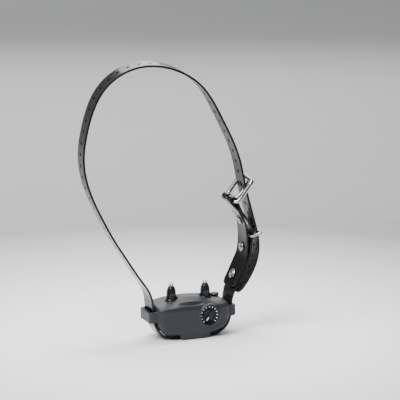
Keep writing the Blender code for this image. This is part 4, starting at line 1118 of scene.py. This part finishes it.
def body_top(x, y):
    share = abs(x) / HALF_LENGTH
    ridge = HOUSING_TOP * soft_table(CROWN, share, CROWN_EASE)
    edge = min(HOUSING_TOP - (FRONT_FALL if y < 0 else BACK_FALL), ridge)
    level = ridge - (ridge - edge) * (abs(y) / HALF_DEPTH) ** SIDE_FALL
    oval = math.hypot(x / OVAL_HALF_X, y / OVAL_HALF_Y)
    level += OVAL_RISE * step_down((oval - 1.0) * OVAL_SCALE, OVAL_EDGE)
    line = CREASE_FRONT + CREASE_BOW * ((x - CREASE_MIDDLE) / CREASE_BEND) ** 2
    reach = max(0.0, 1 - ((x + CREASE_LEFT) / CREASE_HALF) ** 2)
    level -= CREASE_DEPTH * reach ** 1.2 * math.exp(-(((y - line) / CREASE_WIDTH) ** 2))
    level += LIP_HEIGHT * reach * math.exp(-(((y - line - LIP_BEHIND) / LIP_WIDTH) ** 2))
    return level


def body_bottom(x, y):
    hollow = BOTTOM_HOLLOW * (1 - (x / HALF_LENGTH) ** 2) * (1 - (y / HALF_DEPTH) ** 2)
    outer = 1 - step_down(abs(y) - CHANNEL_HALF - BELLY_EDGE / 2, BELLY_EDGE)
    belly, keel = (soft_table(table, abs(x) / HALF_LENGTH, KEEL_EASE) for table in (BELLY, KEEL))
    rise = HOUSING_TOP * (belly + (keel - belly) * outer)
    return STRAP_THICKNESS + LAYER_GAP + rise + hollow


def housing_body():
    """Rings from the middle of the top, over the edge and under to the middle of the bottom."""

    base = rounded_outline(HALF_LENGTH, HALF_DEPTH, BODY_CORNER, 10)
    parts = [max(1, int(round(math.dist(a, b) / BODY_STEP))) for a, b in zip(base, base[1:] + base[:1])]

    def ring(inset, level, squeeze=1.0):
        outline = rounded_outline(HALF_LENGTH - inset, HALF_DEPTH - inset, BODY_CORNER - inset * 0.6, 10)
        dense = []
        for (x, y), (nx, ny), count in zip(outline, outline[1:] + outline[:1], parts):
            for m in range(count):
                dense.append((x + (nx - x) * m / count, y + (ny - y) * m / count))
        return [(x * squeeze, y * squeeze, level(x * squeeze, y * squeeze)) for x, y in dense]

    def lifted(level, lift):
        return lambda x, y: level(x, y) + lift

    rings = [ring(TOP_ROUND * share, body_top, share) for share in np.linspace(0.04, 0.98, TOP_RINGS)]
    bends = [(1 - math.sin(turn), 1 - math.cos(turn)) for turn in np.linspace(0, math.pi / 2, BEND_RINGS)]
    for inset, fall in bends:
        rings.append(ring(TOP_ROUND * inset, lifted(body_top, -TOP_ROUND * fall)))
    for lift, inset in bends:
        rings.append(ring(BOTTOM_ROUND * inset, lifted(body_bottom, BOTTOM_ROUND * lift)))
    for share in np.linspace(0.97, 0.05, BOTTOM_RINGS):
        rings.append(ring(BOTTOM_ROUND, body_bottom, share))
    size = len(rings[0])
    points = [p for one in rings for p in one]
    faces = []
    for r in range(len(rings) - 1):
        for k in range(size):
            n = (k + 1) % size
            a, b = r * size, (r + 1) * size
            faces.append((a + k, b + k, b + n, a + n))
    faces.append(tuple(range(size)))
    last = (len(rings) - 1) * size
    faces.append(tuple(last + k for k in reversed(range(size))))
    return points, faces


def ear(sign):
    inner_end = HALF_LENGTH - EAR_ROOT
    half_y = CHANNEL_HALF + WALL * 1.2
    outline = rounded_outline(EAR_REACH - inner_end, half_y, EAR_CORNER, 12)
    chosen = [(inner_end + x, y) for x, y in outline if x > 0]
    chosen = [(inner_end, -half_y)] + chosen + [(inner_end, half_y)]
    return flat_prism([(sign * x, y) for x, y in chosen][::sign], EAR_LOW, EAR_LOW + EAR_HEIGHT)


def ear_slot(sign):
    outline = rounded_outline(EAR_SLOT / 2, CHANNEL_HALF + EAR_SLOT_MORE, EAR_SLOT_CORNER, 6)
    chosen = [(sign * (EAR_MIDDLE + x), y) for x, y in outline][::sign]
    return flat_prism(chosen, EAR_LOW - EAR_SLOT_REACH, EAR_LOW + EAR_HEIGHT + EAR_SLOT_REACH)


def lobe_outline():
    right = [(LOBE_HALF * share, HOUSING_TOP * height) for share, height in LOBE]
    left = [(-x, z) for x, z in reversed(right)]
    return left + right + [(LOBE_HALF, LOBE_TOP), (-LOBE_HALF, LOBE_TOP)]


def housing(look):
    body = add_object("housing_shell", *housing_body(), look)
    for sign in (-1, 1):
        combine(body, *ear(sign), "UNION")
        combine(body, *ear_slot(sign), "DIFFERENCE")
    outer = HALF_DEPTH - LOBE_INSET
    for low, high in ((-outer, -CHANNEL_HALF), (CHANNEL_HALF, outer)):
        combine(body, *plate(lobe_outline(), low, high), "UNION")
    x, z = DIAL_CENTRE
    boss = [(DIAL_RADIUS, 0.0), (DIAL_RADIUS, BOSS_LENGTH)]
    boss += [(DIAL_RADIUS - DIAL_CHAMFER, BOSS_LENGTH + DIAL_PROUD)]
    combine(body, *turned(boss, (x, BOSS_LENGTH - HALF_DEPTH, z), FORWARD, RIGHT, 72), "UNION")
    pocket = [(DIAL_RADIUS - DIAL_RIM * 1.2, -DIAL_RECESS), (DIAL_RADIUS - DIAL_RIM, DIAL_PROUD * 3)]
    combine(body, *turned(pocket, (x, -HALF_DEPTH, z), FORWARD, RIGHT, 72), "DIFFERENCE")
    seat = [(CONTACT_SEAT, 0.0), (CONTACT_SEAT, SEAT_CUT)]
    for sign in (-1, 1):
        shape = turned(seat, (sign * CONTACT_SPACING / 2, 0, CONTACT_FLOOR), UP, RIGHT, 48)
        combine(body, *shape, "DIFFERENCE")
    seat = [(PLUG_RADIUS + PLUG_SEAT_GAP, 0.0), (PLUG_RADIUS + PLUG_SEAT_GAP, SEAT_CUT)]
    combine(body, *turned(seat, PLUG_AT, UP, RIGHT, 40), "DIFFERENCE")
    remesh = body.modifiers.new("moulded", "REMESH")
    remesh.mode = "VOXEL"
    remesh.voxel_size = VOXEL
    remesh.use_smooth_shade = True
    ease = body.modifiers.new("eased", "SMOOTH")
    ease.factor = 0.5
    ease.iterations = 3
    bake(body)
    body.data.shade_smooth()
    body.data.materials.clear()
    body.data.materials.append(look)
    fit(body, "collar", "slate_plastic", "housing")


# Dial, contacts and plug


def dial_face(look, white):
    """The sloped ring between knob and rim, and its printed marks."""
    x, z = DIAL_CENTRE
    inner, outer = KNOB_RADIUS + GAP, DIAL_RADIUS - DIAL_RIM - FACE_GAP
    rows = [(inner, -0.0022), (inner, -0.0013), (inner + 0.0004, -0.0010)]
    rows += [(outer - 0.0002, -0.0001), (outer, -0.0003), (outer, -0.0022)]
    shape = turned(rows, (x, -HALF_DEPTH, z), FORWARD, RIGHT, 96, closed=True)
    face = add_object("dial_face", *shape, look)
    face.data.set_sharp_from_angle(angle=math.radians(50))
    fit(face, "collar", "dial_black")
    outline = rounded_outline(MARK_HALF_LENGTH, MARK_HALF_WIDTH, MARK_CORNER, 3)
    for number in range(MARKS):
        angle = math.radians(FIRST_MARK - MARK_STEP * number)
        spoke = np.array([math.cos(angle), 0, math.sin(angle)])
        aside = np.array([-math.sin(angle), 0, math.cos(angle)])
        slope = unit(spoke * (outer - inner) + FORWARD * FACE_SLOPE)
        raised = np.cross(slope, aside)
        raised = raised if raised[1] < 0 else -raised
        middle = np.array([x, -HALF_DEPTH, z]) + spoke * MARK_AWAY - FORWARD * MARK_SINK
        flat = [middle + slope * a + aside * b for a, b in outline]
        shape = prism([p - raised * MARK_FOOT for p in flat], [p + raised * MARK_PROUD for p in flat])
        tick = add_object(f"dial_mark_{number}", *shape, white)
        bevel(tick, 0.00003, 1, 40)
        fit(tick, "collar", "pointer_white")


def bar_outline(half_length, half_width):
    return rounded_outline(half_length, half_width, half_width * 0.6, 6)


def turned_plate(outline, low, high, turn, shift):
    """A plate turned about the dial's axis and placed on it."""
    points, faces = plate(outline, low, high)
    made = []
    for px, py, pz in points:
        px, pz = px + shift[0], pz + shift[1]
        made.append((
            DIAL_CENTRE[0] + px * math.cos(turn) - pz * math.sin(turn),
            DIAL_RECESS - HALF_DEPTH - GAP + py,
            DIAL_CENTRE[1] + px * math.sin(turn) + pz * math.cos(turn),
        ))
    return made, faces


def dial(look, white):
    centre = (DIAL_CENTRE[0], DIAL_RECESS - HALF_DEPTH - GAP, DIAL_CENTRE[1])
    r, d = KNOB_RADIUS, KNOB_DEPTH
    rows = [(0, 0), (r, 0), (r, d * 0.78), (r * 0.93, d), (r * 0.83, d)]
    rows += [(r * 0.77, d * 0.74), (r * 0.3, d * 0.70), (0, d * 0.70)]
    knob = add_object("dial_cap", *turned(rounded_profile(rows, 0.0003, 4), centre, FORWARD, RIGHT, 72), look)
    fit(knob, "dial", "dial_black", "dial_knob")
    shape = turned_plate(bar_outline(r * 0.93, 0.0011), -0.0030, -d * 0.4, GRIP_ANGLE, (0, 0))
    grip = add_object("dial_grip", *shape, look)
    bevel(grip, 0.00042, 4, 40)
    fit(grip, "dial", "dial_black")
    shape = turned_plate(bar_outline(0.0017, 0.00045), -0.00345, -0.00285, GRIP_ANGLE, (-r * 0.60, 0))
    pointer = add_object("dial_line", *shape, white)
    bevel(pointer, 0.00012, 3, 40)
    fit(pointer, "dial", "pointer_white", "dial_pointer")


def contact(side, sign, steel, rubber):
    """A steel point on its foot, and the rubber boot round it."""
    centre = (sign * CONTACT_SPACING / 2, 0, CONTACT_FLOOR + GAP)
    h = CONTACT_HEIGHT
    rows = [(0, 0), (0.0046, 0), (0.0050, 0.0004), (0.0049, 0.0010), (0.0016, 0.0012), (0.0014, h * 0.80)]
    rows += [(0.0019, h * 0.835), (0.0019, h * 0.870), (0.0012, h * 0.895), (0.0012, h * 0.910)]
    rows += [(0.0019, h * 0.935), (0.0019, h * 0.965), (0.0012, h * 0.995), (0, h)]
    shape = turned(rounded_profile(rows, 0.00025, 4), centre, UP, RIGHT, 48)
    fit(add_object(f"contact_point_{side}", *shape, steel), "collar", "stud_steel", f"contact_stud_{side}")
    low = 0.0013
    rows = [(0.0019, low), (0.0054, low), (0.0054, low + 0.0005), (0.0047, low + 0.0018), (0.0045, h * 0.22)]
    rows += [(0.0047, h * 0.27), (0.0046, h * 0.31), (0.0044, h * 0.33), (0.0044, h * 0.44)]
    rows += [(0.0040, h * 0.60), (0.0033, h * 0.71), (0.0026, h * 0.785), (0.0021, h * 0.815)]
    rows += [(0.0018, h * 0.80), (0.0017, h * 0.60)]
    shape = turned(rounded_profile(rows, 0.0004, 4), centre, UP, RIGHT, 64, closed=True)
    sleeve = add_object(f"contact_boot_{side}", *shape, rubber)
    fit(sleeve, "collar", "contact_rubber_black", f"contact_sleeve_{side}")


def plug(look):
    """The port's rubber plug: a domed cap over a waist, with a plain pull tab."""
    r, h = PLUG_RADIUS, PLUG_HEIGHT
    rows = [(0, 0), (r, 0), (r, h * 0.20), (r * 0.80, h * 0.30), (r * 0.80, h * 0.46), (r * 0.97, h * 0.55)]
    rows += [(r * 0.97, h * 0.78), (r * 0.72, h * 0.95), (r * 0.34, h * 0.99), (r * 0.28, h * 0.86)]
    rows += [(0, h * 0.86)]
    centre = np.array(PLUG_AT) + np.array([0, 0, GAP])
    cap = add_object("port_cap", *turned(rounded_profile(rows, 0.0004, 4), centre, UP, RIGHT, 56), look)
    fit(cap, "collar", "plug_rubber_black", "port_plug")
    tab_x, tab_y = centre[0] + r * 0.55, centre[1] + r * 0.75
    outline = [(tab_x + x, tab_y + y) for x, y in rounded_outline(0.0030, 0.0013, 0.0008, 6)]
    tab = add_object("port_tab", *flat_prism(outline, centre[2] + h * 0.54, centre[2] + h * 0.80), look)
    bevel(tab, 0.0004, 4, 40)
    fit(tab, "collar", "plug_rubber_black")


# Studio


def studio(look):
    """A floor that sweeps up behind, with a painted pool of light round the collar, a sky that brightens
    upwards, and three lamps.
    """
    r = SWEEP_RADIUS
    rows = [(-FLOOR_HALF, 0.0), (SWEEP_FROM, 0.0)]
    for turn in np.linspace(0.08, math.pi / 2, 18):
        rows.append((SWEEP_FROM + r * math.sin(turn), r * (1 - math.cos(turn))))
    rows += [(SWEEP_FROM + r, BACKDROP_TOP)]
    points = [(x, y, z - FLOOR_DROP) for y, z in rows for x in (-FLOOR_HALF, FLOOR_HALF)]
    faces = [(2 * k, 2 * k + 1, 2 * k + 3, 2 * k + 2) for k in range(len(rows) - 1)]
    floor = add_object("studio_floor", points, faces, look)
    world = bpy.data.worlds.new("studio")
    bpy.context.scene.world = world
    world.use_nodes = True
    tree = world.node_tree
    place, ramp = tree.nodes.new("ShaderNodeTexCoord"), tree.nodes.new("ShaderNodeMapRange")
    lean = tree.nodes.new("ShaderNodeVectorMath")
    lean.operation = "DOT_PRODUCT"
    lean.inputs[1].default_value = SKY_LEAN
    tree.links.new(place.outputs["Generated"], lean.inputs[0])
    tree.links.new(lean.outputs["Value"], ramp.inputs["Value"])
    for key, value in SKY_RANGE.items():
        ramp.inputs[key].default_value = value
    tree.links.new(ramp.outputs["Result"], tree.nodes["Background"].inputs["Strength"])
    tree.nodes["Background"].inputs["Color"].default_value = (0.94, 0.97, 1.0, 1.0)
    for name, place, aim, power, size, colour in LAMPS:
        lamp = bpy.data.lights.new(name, "AREA")
        lamp.energy, lamp.size, lamp.color = power, size, colour
        item = bpy.data.objects.new(name, lamp)
        bpy.context.scene.collection.objects.link(item)
        item.location = place
        item.rotation_euler = (Vector(aim) - Vector(place)).to_track_quat("-Z", "Y").to_euler()


def camera():
    """The photo's camera, to the left of the dial's face and above level."""
    level = math.cos(CAMERA_RISE)
    back = np.array([math.sin(CAMERA_TURN) * level, -math.cos(CAMERA_TURN) * level, math.sin(CAMERA_RISE)])
    data = bpy.data.cameras.new("camera")
    data.sensor_width = SENSOR
    data.lens = SENSOR * FOCAL_PIXELS / PHOTO_PIXELS
    data.clip_start, data.clip_end = 0.05, 40.0
    item = bpy.data.objects.new("camera", data)
    bpy.context.scene.collection.objects.link(item)
    item.location = CAMERA_TARGET + back * CAMERA_AWAY
    item.rotation_euler = Vector(-back).to_track_quat("-Z", "Y").to_euler()
    bpy.context.scene.camera = item


def main():
    camera()
    studio(floor_look())
    path = StrapPath()
    spots = rivet_spots(path)
    nickel = metal_look("nickel_plated", (0.50, 0.49, 0.47), (0.34, 0.33, 0.32), 0.15, (1, 1, 5))
    caps = metal_look("rivet_nickel", (0.46, 0.45, 0.43), (0.26, 0.25, 0.24), 0.24, (1, 1, 1))
    steel = metal_look("contact_steel", (0.74, 0.73, 0.71), (0.58, 0.57, 0.56), 0.17, (6, 6, 1))
    knob = satin_look("dial_black_plastic", (0.007, 0.007, 0.009), (0.003, 0.003, 0.005), 0.34, 2600, 0.08)
    white = satin_look("printed_white", (0.84, 0.84, 0.83), (0.76, 0.76, 0.75), 0.50, 3000, 0.08)
    rubber = satin_look("boot_rubber", (0.010, 0.010, 0.011), (0.004, 0.004, 0.005), 0.28, 2200, 0.10, 0.25)
    soft = satin_look("plug_rubber", (0.011, 0.012, 0.013), (0.005, 0.006, 0.007), 0.40, 2200, 0.15, 0.1)
    crossing = prong_crossing(path)
    strap(path, spots, crossing, strap_look())
    for number, pair in enumerate(spots, 1):
        rivet(number, path, pair, caps)
    buckle_frame(nickel)
    buckle_prong(nickel)
    keeper(path, crossing, nickel)
    housing(plastic_look())
    dial_face(knob, white)
    dial(knob, white)
    for side, sign in (("left", -1), ("right", 1)):
        contact(side, sign, steel, rubber)
    plug(soft)


main()
